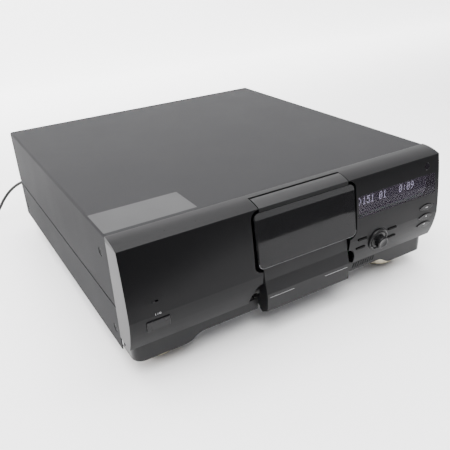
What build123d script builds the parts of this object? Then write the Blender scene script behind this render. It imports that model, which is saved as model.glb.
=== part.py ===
from build123d import *
from math import cos, hypot, pi, radians, sin, sqrt, tan
import os

os.makedirs("parts", exist_ok=True)

# ---------------------------------------------------------------------------
# Driving dimensions, in millimetres.
# X runs across the front, Y runs from the front to the back, Z is up.
# The origin is on the floor, under the middle of the player.
# ---------------------------------------------------------------------------
case_width = 440.0
case_height = 138.0  # top of the cover to its lower edge
case_depth = 455.0  # front top line to the rear panel
foot_height = 29.0  # floor to the cover's lower edge
sheet = 1.2  # steel of the cover, the chassis and the rear panel
seat_gap = 0.3  # between neighbouring pieces
key_gap = 0.3  # round each key in its hole

# The moulded bezel.
bezel_depth = 28.0  # front top line to the seam with the cover
bezel_wall = 3.0
face_height = 122.0
shoulder_run = 26.0
shoulder_drop = 5.5
bend_drop = 84.0  # where the face turns back under
bend_reach = 8.2
face_mid_drop = 45.0
face_mid_reach = 5.5
toe_mid_drop = 104.0
toe_mid_reach = 4.8
toe_setback = 1.6
tongue_length = 9.0
tongue_wall = 1.8

# The door in the middle of the bezel.
door_x = 4.0
lid_width = 125.0
lid_depth = 17.0  # front top line to the lid's rear edge
lid_gap = 1.0
lid_rear_gap = 3.0
window_width = 141.0
window_height = 64.5
window_thick = 3.5
window_top_drop = 10.0
window_top_reach = 2.6
window_bottom_reach = 11.6
window_corner = 7.0
window_gap = 3.5
clear_width = 112.0
clear_height = 46.0
apron_width = 121.5
apron_bottom_drop = 132.0
apron_heel_drop = 139.0
apron_reach = 11.5
apron_crease_drop = 110.0
door_wall = 2.5
pivot_setback = 14.0
pivot_drop = 127.0
pivot_radius = 2.0
pin_clearance = 0.06
scoop_width = 15.0
scoop_height = 26.0

# The skirt and the feet.
skirt_setback = 5.0
skirt_wall = 3.0
skirt_width = 430.0
skirt_corner = 12.0
skirt_length = 75.0
skirt_low_drop = 145.0
skirt_high_drop = 136.0
housing_inner_x = 130.0
housing_outer_x = 156.0
foot_x = 174.0
foot_front_setback = 50.0
foot_rear_inset = 50.0
foot_radius = 23.0
foot_ring_radius = 25.0
foot_ring_height = 13.0
foot_ring_lift = 2.5

# The controls and the display.
display_x = 147.0
display_drop = 42.25
display_width = 132.0
display_height = 27.5
pane_thick = 2.0
lens_x = 198.0
lens_drop = 18.0
lens_radius = 4.5
power_x = -188.5
power_drop = 95.3
power_width = 26.0
power_height = 13.0
power_travel = 1.2
slider_x = -189.5
slider_drop = 67.5
slider_slot = 7.0
slider_height = 2.2
slider_travel = 3.4
almond_x = 198.5
almond_drops = {"play_key": 72.5, "pause_key": 86.0, "stop_key": 98.5}
almond_width = 26.0
almond_height = 8.6
slim_width = 15.0
slim_height = 3.0
key_travel = 0.8
key_reach = 1.2
dial_x = 115.0
dial_drop = 94.0
dial_ring_radius = 15.0
slim_keys = {"skip_back_key": (dial_x - dial_ring_radius - 12.5, 84.7),
             "search_back_key": (dial_x - dial_ring_radius - 13.0, 97.4),
             "skip_next_key": (dial_x + dial_ring_radius + 7.8, 84.7),
             "search_next_key": (dial_x + dial_ring_radius + 8.8, 97.4)}
dial_skirt_radius = 11.0
dial_cap_radius = 8.0
dial_reach = 10.5
dial_shaft_radius = 3.0
front_reach = 18.4  # front top line to the dial's foremost point, only to centre the player
grip_count = 18
board_setback = 14.0  # front top line to the control boards
board_thick = 1.6

# The disc carousel and the player in its middle.
disc_radius = 60.0
disc_slots = 200
slot_width = 1.6
mech_setback = 232.0  # front top line to the carousel's axis
disc_ring_radius = 124.0  # carousel's axis to a stored disc's centre
disc_floor = 12.0  # chassis floor to a stored disc's lowest point
tray_outer = 190.0
tray_inner = 59.0
tray_wall = 2.8
tray_lift = 4.0  # chassis underside to the tray's lower rims
rack_base = 2.0
inner_rack_radius = 76.0
inner_rack_width = 10.0
inner_rack_height = 27.0
outer_rack_radius = 172.0
outer_rack_width = 10.0
outer_rack_height = 17.0
gear_module = 1.5
ring_gear_radius = tray_inner - 2.0  # the teeth are as many as come nearest to the gears' radii
pinion_radius = 12.0
ring_teeth = round(2 * ring_gear_radius / gear_module)
pinion_teeth = round(2 * pinion_radius / gear_module)
gear_width = 6.0
gear_lift = 11.0  # chassis underside to the gear ring
motor_radius = 12.0
motor_length = 24.0
spindle_motor_radius = 13.0
turntable_radius = 14.5
plate_x = -13.0
sled_travel = 28.0

# The connections at the back.
jack_reach = 9.0
jack_radius = 4.6
gland_x = -176.0
gland_drop = 100.0
gland_length = 30.0
cord_diameter = 5.0

# Places that follow from the sizes above.
top_z = foot_height + case_height
front_y = -(case_depth + jack_reach - front_reach) / 2
rear_y = front_y + case_depth
seam_y = front_y + bezel_depth
floor_z = foot_height + sheet  # the chassis floor's upper face
half_width = case_width / 2
mech_y = front_y + mech_setback
disc_z = floor_z + disc_floor + disc_radius
board_y = front_y + board_setback


def facing_front(y):
    """A sketch plane across the player at y, whose normal points to the front."""
    return Plane.XZ.offset(-y)


def save(piece, name):
    """Label a finished piece and write it as one STEP file."""
    piece.part.label = name
    export_step(piece.part, f"parts/{name}.step")


# ---------------------------------------------------------------------------
# The front's side profile, shared by the bezel, the door, the panes and the keys.
# ---------------------------------------------------------------------------
seam_top = Vector(seam_y, top_z)
shoulder_start = Vector(front_y + shoulder_run, top_z)
shoulder_end = Vector(front_y, top_z - shoulder_drop)
face_mid = Vector(front_y - face_mid_reach, top_z - face_mid_drop)
bend = Vector(front_y - bend_reach, top_z - bend_drop)
toe_mid = Vector(front_y - toe_mid_reach, top_z - toe_mid_drop)
toe = Vector(front_y + toe_setback, top_z - face_height)
seam_bottom = Vector(seam_y, top_z - face_height)
face_arc = ThreePointArc(shoulder_end, face_mid, bend)
toe_arc = ThreePointArc(bend, toe_mid, toe)


def face_plane(x, drop, out=0.0):
    """A plane on the bezel's face at x, drop below the top, whose normal points outward."""
    arc = face_arc if drop < bend_drop else toe_arc
    centre, radius = arc.arc_center, arc.radius
    rise = top_z - drop - centre.Y
    y = centre.X - sqrt(radius**2 - rise**2)
    normal = Vector(0, (y - centre.X) / radius, rise / radius)
    return Plane(origin=Vector(x, y, top_z - drop) + normal * out, x_dir=(1, 0, 0), z_dir=normal)


def face_slab(outer, inner):
    """Close the face's own line, from outer to inner behind it, into a sketch face."""
    with BuildLine() as slab:
        front = [Vector(p.X + outer, p.Y) for p in (shoulder_end, face_mid, bend, toe_mid, toe)]
        back = [Vector(p.X + inner, p.Y) for p in (shoulder_end, face_mid, bend, toe_mid, toe)]
        ThreePointArc(front[0], front[1], front[2])
        ThreePointArc(front[2], front[3], front[4])
        Line(front[4], back[4])
        ThreePointArc(back[4], back[3], back[2])
        ThreePointArc(back[2], back[1], back[0])
        Line(back[0], front[0])
    make_face(slab.edges())


def almond(width, height):
    """An eye-shaped outline with pointed ends."""
    with BuildLine() as eye:
        ThreePointArc((-width / 2, 0), (0, height / 2), (width / 2, 0))
        ThreePointArc((width / 2, 0), (0, -height / 2), (-width / 2, 0))
    make_face(eye.edges())


# ---------------------------------------------------------------------------
# Front bezel: a hollow moulding with its door well, holes, ribs and bosses.
# ---------------------------------------------------------------------------
window_opening = window_width + 2 * window_gap
well_split_z = top_z - window_top_drop - window_height - window_gap - 1.5
boss_places = [(-200, 30), (-90, 30), (-200, 108), (-90, 108), (90, 8), (212, 8), (90, 114), (208, 114)]

with BuildPart() as front_bezel:
    with BuildSketch(Plane.YZ.offset(-half_width)):
        with BuildLine():
            Line(seam_top, shoulder_start)
            TangentArc(shoulder_start, shoulder_end, tangent=(-1, 0))
            ThreePointArc(shoulder_end, face_mid, bend)
            ThreePointArc(bend, toe_mid, toe)
            Line(toe, seam_bottom)
            Line(seam_bottom, seam_top)
        make_face()
    extrude(amount=case_width)
    offset(amount=-bezel_wall, openings=faces().sort_by(Axis.Y)[-1])
    # A tongue under the cover holds the seam in line.
    with BuildSketch(facing_front(seam_y - 2)):
        with Locations((0, top_z - sheet - seat_gap - face_height / 2)):
            Rectangle(case_width - 2 * (sheet + seat_gap), face_height)
            with Locations((0, -tongue_wall)):
                Rectangle(case_width - 2 * (sheet + seat_gap + tongue_wall), face_height, mode=Mode.SUBTRACT)
        with Locations((0, top_z - sheet - seat_gap - face_height - 10)):
            Rectangle(case_width, 60, mode=Mode.SUBTRACT)
    extrude(amount=-(tongue_length + 2))
    # Walls beside the door's well.
    for side in (-1, 1):
        wall_x = door_x + side * (window_opening / 2 + 1.0)
        with BuildSketch(Plane.YZ.offset(wall_x - 1.0)):
            with BuildLine():
                Polyline((front_y + 1, top_z - 8), (seam_y, top_z - 2), (seam_y, well_split_z),
                         (front_y - 5.2, well_split_z), close=True)
            make_face()
        extrude(amount=2.0)
        wall_x = door_x + side * (lid_width / 2 + lid_gap + 1.0)
        with BuildSketch(Plane.YZ.offset(wall_x - 1.0)):
            with BuildLine():
                Polyline((front_y - 5.0, well_split_z), (seam_y, well_split_z), (seam_y, top_z - face_height + 1),
                         (front_y + 4, top_z - face_height + 1), close=True)
            make_face()
        extrude(amount=2.0)
    # The door's opening: narrow at the lid and the apron, wide at the window.
    with BuildSketch(facing_front(front_y - 30)):
        with Locations((door_x, top_z - face_height / 2)):
            Rectangle(lid_width + 2 * lid_gap, face_height + 20)
        with Locations((door_x, top_z - window_top_drop - window_height / 2 - 1)):
            RectangleRounded(window_opening, window_height + 2 + 2 * window_gap, window_corner + 3)
        with Locations((door_x - lid_width / 2 - lid_gap, toe.Y), (door_x + lid_width / 2 + lid_gap, toe.Y)):
            Ellipse(scoop_width, scoop_height)
    extrude(amount=-(30 + lid_depth + lid_rear_gap), mode=Mode.SUBTRACT)
    # The display's opening, the lens's hole and the holes of the keys.
    with BuildSketch(facing_front(front_y - 30)):
        with Locations((display_x, top_z - display_drop)):
            Rectangle(display_width, display_height)
        with Locations((slider_x, top_z - slider_drop)):
            SlotOverall(slider_slot, slider_height)
    extrude(amount=-45, mode=Mode.SUBTRACT)
    for drop in almond_drops.values():
        with BuildSketch(face_plane(almond_x, drop, 5)):
            almond(almond_width + 3 * key_gap, almond_height + 2 * key_gap)
        extrude(amount=-14, mode=Mode.SUBTRACT)
    for x, drop in slim_keys.values():
        with BuildSketch(face_plane(x, drop, 5)):
            SlotOverall(slim_width + 2 * key_gap, slim_height + 2 * key_gap)
        extrude(amount=-14, mode=Mode.SUBTRACT)
    with BuildSketch(face_plane(power_x, power_drop, 5)):
        RectangleRounded(power_width + 2 * key_gap, power_height + 2 * key_gap, 1.0)
    extrude(amount=-14, mode=Mode.SUBTRACT)
    for x, drop, radius in ((dial_x, dial_drop, dial_shaft_radius), (lens_x, lens_drop, lens_radius)):
        with BuildSketch(face_plane(x, drop, 5)):
            Circle(radius + key_gap)
        extrude(amount=-14, mode=Mode.SUBTRACT)
    # A flat seat for the dial's ring.
    with BuildSketch(face_plane(dial_x, dial_drop, 1.5)):
        Circle(dial_ring_radius + 0.2)
    extrude(amount=-2.1, mode=Mode.SUBTRACT)
    # Screw bosses on the inside, standing forward of the boards.
    for x, drop in boss_places:
        wall_y = face_plane(x, drop).origin.Y + bezel_wall - 1
        with BuildSketch(facing_front(board_y - seat_gap)):
            with Locations((x, top_z - drop)):
                Circle(3.2)
        extrude(amount=board_y - seat_gap - wall_y)
        with BuildSketch(facing_front(board_y - seat_gap)):
            with Locations((x, top_z - drop)):
                Circle(1.2)
        extrude(amount=8, mode=Mode.SUBTRACT)
    # Stiffening ribs across the plain left half.
    for x in (-165, -130):
        with BuildSketch(Plane.YZ.offset(x - 0.75)):
            with BuildLine():
                Polyline((front_y + 1, top_z - 8), (front_y + 9, top_z - 2), (front_y + 2, bend.Y),
                         (front_y + 9, top_z - face_height + 1), (front_y + 4, top_z - face_height + 1),
                         (front_y - 5.2, bend.Y), close=True)
            make_face()
        extrude(amount=1.5)
save(front_bezel, "front_bezel")

# ---------------------------------------------------------------------------
# Display pane, receiver lens and the fluorescent display behind the pane.
# ---------------------------------------------------------------------------
with BuildPart() as display_window:
    with BuildSketch(Plane.YZ.offset(display_x - display_width / 2 + 0.2)):
        face_slab(0.2, 0.2 + pane_thick)
    extrude(amount=display_width - 0.4)
    with BuildSketch(facing_front(front_y - 30)):
        with Locations((display_x, top_z - display_drop)):
            Rectangle(display_width - 0.4, display_height - 0.4)
    extrude(amount=-60, mode=Mode.INTERSECT)
save(display_window, "display_window")

with BuildPart() as ir_lens:
    with BuildSketch(face_plane(lens_x, lens_drop, -6)):
        Circle(lens_radius)
    extrude(amount=6.4)
    fillet(edges().filter_by(GeomType.CIRCLE).sort_by(Axis.Y)[0], 1.0)
    with BuildSketch(face_plane(lens_x, lens_drop, -7)):
        Circle(lens_radius + 2)
    extrude(amount=2)
save(ir_lens, "ir_lens")

tube_y = front_y + 3.5
with BuildPart() as display_tube:
    with BuildSketch(facing_front(board_y - seat_gap)):
        with Locations((display_x, top_z - display_drop)):
            RectangleRounded(display_width - 14, display_height + 2, 1.5)
    extrude(amount=board_y - seat_gap - tube_y)
    chamfer(faces().sort_by(Axis.Y)[0].edges(), 0.8)
    # The evacuation nib at one end of the glass.
    with BuildSketch(Plane.YZ.offset(display_x + (display_width - 14) / 2)):
        with Locations((board_y - 5, top_z - display_drop)):
            Circle(1.6)
    extrude(amount=3.5)
save(display_tube, "display_tube")

# ---------------------------------------------------------------------------
# Control boards with their switches, and the keys that press them.
# ---------------------------------------------------------------------------
switch_height = 4.0
stem_gap = 0.4


def behind(plane, y):
    """Height at which a plane's own axis reaches the upright plane at y."""
    reach = (y - plane.origin.Y) / -plane.z_dir.Y
    return plane.origin.Z - plane.z_dir.Z * reach


def switch_places():
    """Each switch on the right board: its x and its height, on the axis of its key."""
    places = [(almond_x, drop) for drop in almond_drops.values()] + list(slim_keys.values())
    return [(x, behind(face_plane(x, drop), board_y - switch_height)) for x, drop in places]


right_board_x = (84.0, 215.0)
with BuildPart() as front_board:
    with BuildSketch(facing_front(board_y + board_thick)):
        with Locations(((right_board_x[0] + right_board_x[1]) / 2, top_z - 61)):
            Rectangle(right_board_x[1] - right_board_x[0], 112)
        for x, drop in [p for p in boss_places if p[0] > 0]:
            with Locations((x, top_z - drop)):
                Circle(1.6, mode=Mode.SUBTRACT)
        with Locations((dial_x, behind(face_plane(dial_x, dial_drop), board_y))):
            Circle(dial_shaft_radius + 1.0, mode=Mode.SUBTRACT)
    extrude(amount=board_thick)
    # Tact switches, a connector and a controller chip on the back.
    for x, z in switch_places():
        with BuildSketch(facing_front(board_y)):
            with Locations((x, z)):
                Rectangle(6, 6)
        extrude(amount=switch_height - 1)
        with BuildSketch(facing_front(board_y)):
            with Locations((x, z)):
                Circle(1.7)
        extrude(amount=switch_height)
    with BuildSketch(facing_front(board_y + board_thick)):
        with Locations((150, top_z - 70)):
            Rectangle(20, 14)
        with Locations((102, top_z - 25)):
            Rectangle(24, 6)
    extrude(amount=-3.0)
    with BuildSketch(facing_front(board_y)):
        with Locations((lens_x, top_z - lens_drop)):
            Rectangle(8, 9)
    extrude(amount=4.5)
save(front_board, "front_board")

with BuildPart() as power_board:
    with BuildSketch(facing_front(board_y + board_thick)):
        with Locations((-145, top_z - 69)):
            Rectangle(124, 94)
        for x, drop in [p for p in boss_places if p[0] < 0]:
            with Locations((x, top_z - drop)):
                Circle(1.6, mode=Mode.SUBTRACT)
    extrude(amount=board_thick)
    with BuildSketch(facing_front(board_y)):
        with Locations((power_x, behind(face_plane(power_x, power_drop), board_y - switch_height))):
            Rectangle(12, 12)
        with Locations((slider_x, top_z - slider_drop)):
            Rectangle(14, 6)
    extrude(amount=switch_height)
save(power_board, "power_board")


def switch_distance(plane):
    """How far behind a key's plane the nearest face of its switch lies, along the normal."""
    reach = (board_y - switch_height) - plane.origin.Y
    return reach * -plane.z_dir.Y


def key_body(name, x, drop, outline, flange_outline, travel, crown):
    """A key: its cap in the hole, its flange behind the wall and its stem to the switch."""
    plane = face_plane(x, drop)
    flange_front = -(bezel_wall + 0.9)
    with BuildPart() as key:
        with BuildSketch(plane.offset(flange_front - 1.2)):
            outline()
        extrude(amount=key_reach - flange_front + 1.2)
        fillet(faces().sort_by(Axis.Y)[0].edges(), crown)
        with BuildSketch(plane.offset(flange_front - 1.2)):
            flange_outline()
        extrude(amount=1.2)
        with BuildSketch(plane.offset(flange_front - 1.2)):
            Circle(1.4)
        stem_end = -(switch_distance(plane) - travel - stem_gap)
        extrude(amount=stem_end - (flange_front - 1.2))
    save(key, name)


for key_name, key_drop in almond_drops.items():
    key_body(
        key_name, almond_x, key_drop,
        lambda: almond(almond_width, almond_height),
        lambda: SlotOverall(almond_width + 2.5, almond_height + 1.4),
        key_travel, 0.5)

for key_name, (key_x, key_drop) in slim_keys.items():
    key_body(
        key_name, key_x, key_drop,
        lambda: SlotOverall(slim_width, slim_height),
        lambda: SlotOverall(slim_width + 3, slim_height + 3),
        key_travel, 0.5)

with BuildPart() as power_button:
    power_plane = face_plane(power_x, power_drop)
    with BuildSketch(power_plane.offset(-6)):
        RectangleRounded(power_width, power_height, 0.8)
    extrude(amount=6 + key_reach)
    chamfer(faces().sort_by(Axis.Y)[0].edges(), 0.5)
    with BuildSketch(power_plane.offset(-6)):
        RectangleRounded(power_width + 4, power_height + 4, 1)
    extrude(amount=1.5)
    with BuildSketch(power_plane.offset(-6)):
        Rectangle(4, 4)
    extrude(amount=-(switch_distance(power_plane) - 6 - power_travel - stem_gap - 1.2))
save(power_button, "power_button")

with BuildPart() as timer_slider:
    slider_from = slider_x - slider_travel / 2
    slider_face_y = face_plane(slider_x, slider_drop).origin.Y
    with BuildSketch(facing_front(slider_face_y + bezel_wall + 1.2)):
        with Locations((slider_from, top_z - slider_drop)):
            Rectangle(11, 5)
    extrude(amount=0.9)
    with BuildSketch(facing_front(slider_face_y + bezel_wall + 1)):
        with Locations((slider_from, top_z - slider_drop)):
            Rectangle(2.4, slider_height - 0.6)
    extrude(amount=bezel_wall + 1.6)
    with BuildSketch(facing_front(board_y - switch_height - 0.4)):
        with Locations((slider_from, top_z - slider_drop)):
            Rectangle(3, 2.6)
    extrude(amount=board_y - switch_height - 0.4 - slider_face_y - bezel_wall - 1)
save(timer_slider, "timer_slider")

# ---------------------------------------------------------------------------
# The dial: a fixed trim ring, and the turning knob with its shaft.
# ---------------------------------------------------------------------------
dial_plane = face_plane(dial_x, dial_drop)
dial_profile = Plane(origin=dial_plane.origin, x_dir=dial_plane.x_dir, z_dir=-dial_plane.y_dir)
dial_axis = Axis(dial_plane.origin, dial_plane.z_dir)
ring_wall = dial_ring_radius - dial_skirt_radius - 0.6

with BuildPart() as dial_ring:
    with BuildSketch(dial_profile):
        with BuildLine():
            inner = dial_skirt_radius + 0.6
            Line((inner, -0.6), (dial_ring_radius, -0.6))
            Line((dial_ring_radius, -0.6), (dial_ring_radius, 0.6))
            TangentArc((dial_ring_radius, 0.6), (dial_ring_radius - ring_wall / 2, 2.4), tangent=(0, 1))
            Line((dial_ring_radius - ring_wall / 2, 2.4), (inner, 0.9))
            Line((inner, 0.9), (inner, -0.6))
        make_face()
    revolve(axis=dial_axis)
save(dial_ring, "dial_ring")

dial_shaft_end = switch_distance(dial_plane) + switch_height + 2
with BuildPart() as jog_dial:
    with BuildSketch(dial_profile):
        with BuildLine():
            Polyline((0, -dial_shaft_end), (dial_shaft_radius, -dial_shaft_end), (dial_shaft_radius, 0.2),
                     (dial_skirt_radius, 0.2), (dial_skirt_radius, 1.4), (dial_cap_radius + 0.8, 2.2),
                     (dial_cap_radius, 3.2), (dial_cap_radius, dial_reach - 1.6))
            dish_edge = (dial_cap_radius - 1.6, dial_reach)
            TangentArc((dial_cap_radius, dial_reach - 1.6), dish_edge, tangent=(0, 1))
            TangentArc((0, dial_reach - 0.9), dish_edge, tangent=(1, 0))
            Line((0, dial_reach - 0.9), (0, -dial_shaft_end))
        make_face()
    revolve(axis=dial_axis)
    # Finger grooves round the cap, below its rounded edge.
    with BuildSketch(dial_plane.offset(4)):
        with PolarLocations(dial_cap_radius + 0.35, grip_count, start_angle=180 / grip_count):
            Circle(0.7)
    extrude(amount=dial_reach - 6.2, mode=Mode.SUBTRACT)
save(jog_dial, "jog_dial")

# ---------------------------------------------------------------------------
# The door: lid, window carrier and apron in one moulding, and its window.
# ---------------------------------------------------------------------------
window_top = top_z - window_top_drop
window_bottom = window_top - window_height
lean = window_bottom_reach - window_top_reach
window_normal = Vector(0, -window_height, lean).normalized()
window_centre = Vector(door_x, front_y - (window_top_reach + window_bottom_reach) / 2,
                       (window_top + window_bottom) / 2)
window_plane = Plane(origin=window_centre, x_dir=(1, 0, 0), z_dir=window_normal)
window_slope = hypot(window_height, lean)
pivot_y = front_y + pivot_setback
pivot_z = top_z - pivot_drop
cheek_x = [door_x - apron_width / 2, door_x + apron_width / 2 - door_wall]

with BuildPart() as door_frame:
    # The lid follows the bezel's shoulder and turns down at its rear edge.
    with BuildSketch(Plane.YZ.offset(door_x - lid_width / 2)):
        with BuildLine():
            lid_rear = Vector(front_y + lid_depth, top_z - 0.6)
            Line(shoulder_end, (front_y - 0.7, window_top + 0.4))
            Polyline((front_y - 0.7, window_top + 0.4), (front_y + 1.4, window_top + 0.4),
                     (front_y + 1.4, window_top - 6), (front_y + 4.0, window_top - 6),
                     (front_y + 4.0, top_z - shoulder_drop - 1.6))
            ThreePointArc((front_y + 4.0, top_z - shoulder_drop - 1.6),
                          (front_y + 9.0, top_z - 4.6), (lid_rear.X - 2, top_z - 3.4))
            Line((lid_rear.X - 2, top_z - 3.4), (lid_rear.X - 2, top_z - 10))
            Line((lid_rear.X - 2, top_z - 10), (lid_rear.X, top_z - 10))
            Line((lid_rear.X, top_z - 10), lid_rear)
            ThreePointArc(lid_rear, (front_y + 8, top_z - 2.3), shoulder_end)
        make_face()
    extrude(amount=lid_width)
    # The carrier behind the window.
    with BuildSketch(window_plane.offset(-window_thick - 0.1)):
        RectangleRounded(window_width - 5, window_slope - 2, window_corner - 2)
        RectangleRounded(clear_width, clear_height, 3, mode=Mode.SUBTRACT)
    extrude(amount=-door_wall)
    # The apron: an upper slope, a crease and an upright band, hollow from behind.
    carrier_y = front_y - window_bottom_reach + window_thick
    with BuildSketch(Plane.YZ.offset(cheek_x[0])):
        with BuildLine():
            Polyline((carrier_y + 0.6, window_bottom + 3), (front_y - 4.2, window_bottom - 2),
                     (front_y - 7, top_z - 94), (front_y - apron_reach, top_z - apron_crease_drop),
                     (front_y - apron_reach, top_z - apron_bottom_drop), (front_y, top_z - apron_heel_drop),
                     (front_y + 5, top_z - apron_heel_drop + 3), (front_y + 5, top_z - 100),
                     (front_y + 2, window_bottom + 3), close=True)
        make_face()
    extrude(amount=apron_width)
    with BuildSketch(Plane.YZ.offset(cheek_x[0] + door_wall)):
        with BuildLine():
            Polyline((front_y - 1.6, window_bottom - 2), (front_y - 4.4, top_z - 94),
                     (front_y - apron_reach + door_wall, top_z - apron_crease_drop - 0.6),
                     (front_y - apron_reach + door_wall, top_z - apron_bottom_drop + 1.4),
                     (front_y - 1, top_z - apron_heel_drop + 3), (front_y + 7, top_z - apron_heel_drop + 2.6),
                     (front_y + 7, window_bottom - 2), close=True)
        make_face()
    extrude(amount=apron_width - 2 * door_wall, mode=Mode.SUBTRACT)
    # Hinge arms behind the cheeks.
    for arm_x in cheek_x:
        with BuildSketch(Plane.YZ.offset(arm_x)):
            with BuildLine():
                Polyline((front_y + 3, pivot_z + 9), (pivot_y, pivot_z + 4.6), (pivot_y, pivot_z - 4.6),
                         (front_y + 3, pivot_z - 7), close=True)
            make_face()
            with Locations((pivot_y, pivot_z)):
                Circle(4.6)
                Circle(pivot_radius, mode=Mode.SUBTRACT)
        extrude(amount=door_wall)
    # Stiffening ribs inside the apron.
    for rib_x in (-24, 4, 32):
        with BuildSketch(Plane.YZ.offset(rib_x - 0.75)):
            with BuildLine():
                Polyline((front_y - 2, window_bottom - 3), (front_y - 5, top_z - 94),
                         (front_y - apron_reach + 2, top_z - apron_crease_drop),
                         (front_y - apron_reach + 2, top_z - apron_bottom_drop + 1), (front_y - 3, top_z - 133),
                         (front_y - 3, top_z - 98), (front_y + 2, window_bottom - 3), close=True)
            make_face()
        extrude(amount=1.5)
save(door_frame, "door_frame")

with BuildPart() as door_window:
    with BuildSketch(window_plane.offset(-window_thick)):
        RectangleRounded(window_width, window_slope, window_corner)
    extrude(amount=window_thick)
    chamfer(faces().sort_by(Axis.Y)[0].edges(), 1.1)
    # A broad bevel runs along the top edge.
    with BuildSketch(Plane.YZ.offset(door_x - window_width / 2)):
        with BuildLine():
            top_front = window_centre + window_plane.y_dir * (window_slope / 2) + window_normal * 0.1
            bevel_foot = top_front - window_plane.y_dir * 7.5
            bevel_back = top_front - window_normal * 1.9 + window_plane.y_dir * 0.3
            corner = top_front + window_plane.y_dir * 1.0
            Polyline((bevel_foot.Y, bevel_foot.Z), (bevel_back.Y, bevel_back.Z), (corner.Y, corner.Z), close=True)
        make_face()
    extrude(amount=window_width, mode=Mode.SUBTRACT)
save(door_window, "door_window")

bracket_gap = 1.2
bracket_wall = 1.5
bracket_radius = 4.4
bracket_x = [cheek_x[0] - bracket_gap - bracket_wall - 3.0, cheek_x[1] + door_wall + bracket_gap + 3.0]
frame_wall_y = front_y + 32.0  # the chassis's upright front wall

with BuildPart() as hinge_pins:
    for pin_from, pin_to in ((bracket_x[0] - 1, cheek_x[0] + door_wall + 1),
                             (cheek_x[1] - 1, bracket_x[1] + bracket_wall + 1)):
        with BuildSketch(Plane.YZ.offset(pin_from)):
            with Locations((pivot_y, pivot_z)):
                Circle(pivot_radius)
        extrude(amount=pin_to - pin_from)
save(hinge_pins, "hinge_pins")

with BuildPart() as hinge_brackets:
    for plate_from in bracket_x:
        with BuildSketch(Plane.YZ.offset(plate_from)):
            with BuildLine():
                Polyline((pivot_y, pivot_z + bracket_radius), (frame_wall_y, pivot_z + bracket_radius),
                         (frame_wall_y, pivot_z - bracket_radius - 1.5), (pivot_y, pivot_z - bracket_radius),
                         close=True)
            make_face()
            with Locations((pivot_y, pivot_z)):
                Circle(bracket_radius)
                Circle(pivot_radius + pin_clearance, mode=Mode.SUBTRACT)
        extrude(amount=bracket_wall)
save(hinge_brackets, "hinge_brackets")

# ---------------------------------------------------------------------------
# Skirt under the bezel, with S-curved lower edge, vent slots and foot housings.
# ---------------------------------------------------------------------------
skirt_top = top_z - face_height - seat_gap
bar_height = 3.6
skirt_low = top_z - skirt_low_drop
skirt_high = top_z - skirt_high_drop
door_side = [door_x - lid_width / 2 - lid_gap, door_x + lid_width / 2 + lid_gap]
mid_run = (housing_inner_x + housing_outer_x) / 2
mid_drop = (skirt_low + skirt_high) / 2

with BuildPart() as front_skirt:
    with BuildSketch(Plane.XY.offset(skirt_low)):
        with Locations((0, front_y + skirt_setback + skirt_length / 2 + 10)):
            RectangleRounded(skirt_width, skirt_length + 20, skirt_corner)
            RectangleRounded(skirt_width - 2 * skirt_wall, skirt_length + 20 - 2 * skirt_wall,
                             skirt_corner - skirt_wall, mode=Mode.SUBTRACT)
        with Locations((0, front_y + skirt_setback + skirt_length + 30)):
            Rectangle(skirt_width + 10, 60, mode=Mode.SUBTRACT)
    extrude(amount=skirt_top - skirt_low)
    # The lower edge rises from the foot housings to the middle in two S-curves.
    with BuildSketch(facing_front(front_y - 5)):
        for side in (-1, 1):
            with BuildLine():
                Line((0, skirt_low - 1), (side * housing_outer_x, skirt_low - 1))
                Line((side * housing_outer_x, skirt_low - 1), (side * housing_outer_x, skirt_low))
                TangentArc((side * housing_outer_x, skirt_low), (side * mid_run, mid_drop), tangent=(-side, 0))
                TangentArc((side * housing_inner_x, skirt_high), (side * mid_run, mid_drop), tangent=(side, 0))
                Line((side * housing_inner_x, skirt_high), (0, skirt_high))
                Line((0, skirt_high), (0, skirt_low - 1))
            make_face()
    extrude(amount=-40, mode=Mode.SUBTRACT)
    # The door's apron hangs in front of this gap.
    with BuildSketch(facing_front(front_y)):
        with Locations(((door_side[0] + door_side[1]) / 2, skirt_high)):
            Rectangle(door_side[1] - door_side[0], 60)
    extrude(amount=-(skirt_setback + skirt_wall + 8), mode=Mode.SUBTRACT)
    # Slanted vent slots on the right.
    with BuildSketch(facing_front(front_y)):
        for step in range(9):
            with Locations(Location((88.0 + 4.2 * step, (skirt_top + skirt_high) / 2, 0), (0, 0, 70))):
                SlotOverall(8.0, 1.6)
    extrude(amount=-20, mode=Mode.SUBTRACT)
    # A bar behind the door joins the two halves.
    bar_z = pivot_z - bracket_radius - 1.8 - bar_height
    with BuildSketch(Plane.XY.offset(bar_z)):
        with Locations((door_x, front_y + bezel_depth - 2.5)):
            Rectangle(lid_width + 30, 3)
        for side in (0, 1):
            with Locations((door_side[side] + (side * 2 - 1) * 12.0, front_y + (skirt_setback + bezel_depth) / 2)):
                Rectangle(2.0, bezel_depth - skirt_setback - 2)
    extrude(amount=bar_height)
    # The walls behind the bezel stay under the chassis floor.
    with BuildSketch(Plane.XY.offset(foot_height - seat_gap)):
        with Locations((0, frame_wall_y - 0.5 + 50)):
            Rectangle(case_width + 20, 100)
    extrude(amount=40, mode=Mode.SUBTRACT)
save(front_skirt, "front_skirt")

# ---------------------------------------------------------------------------
# Feet: moulded bodies, gilt trim rings and their screws.
# ---------------------------------------------------------------------------
foot_places = [(side * foot_x, y) for side in (-1, 1)
               for y in (front_y + foot_front_setback, rear_y - foot_rear_inset)]
foot_body_height = foot_height

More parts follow.
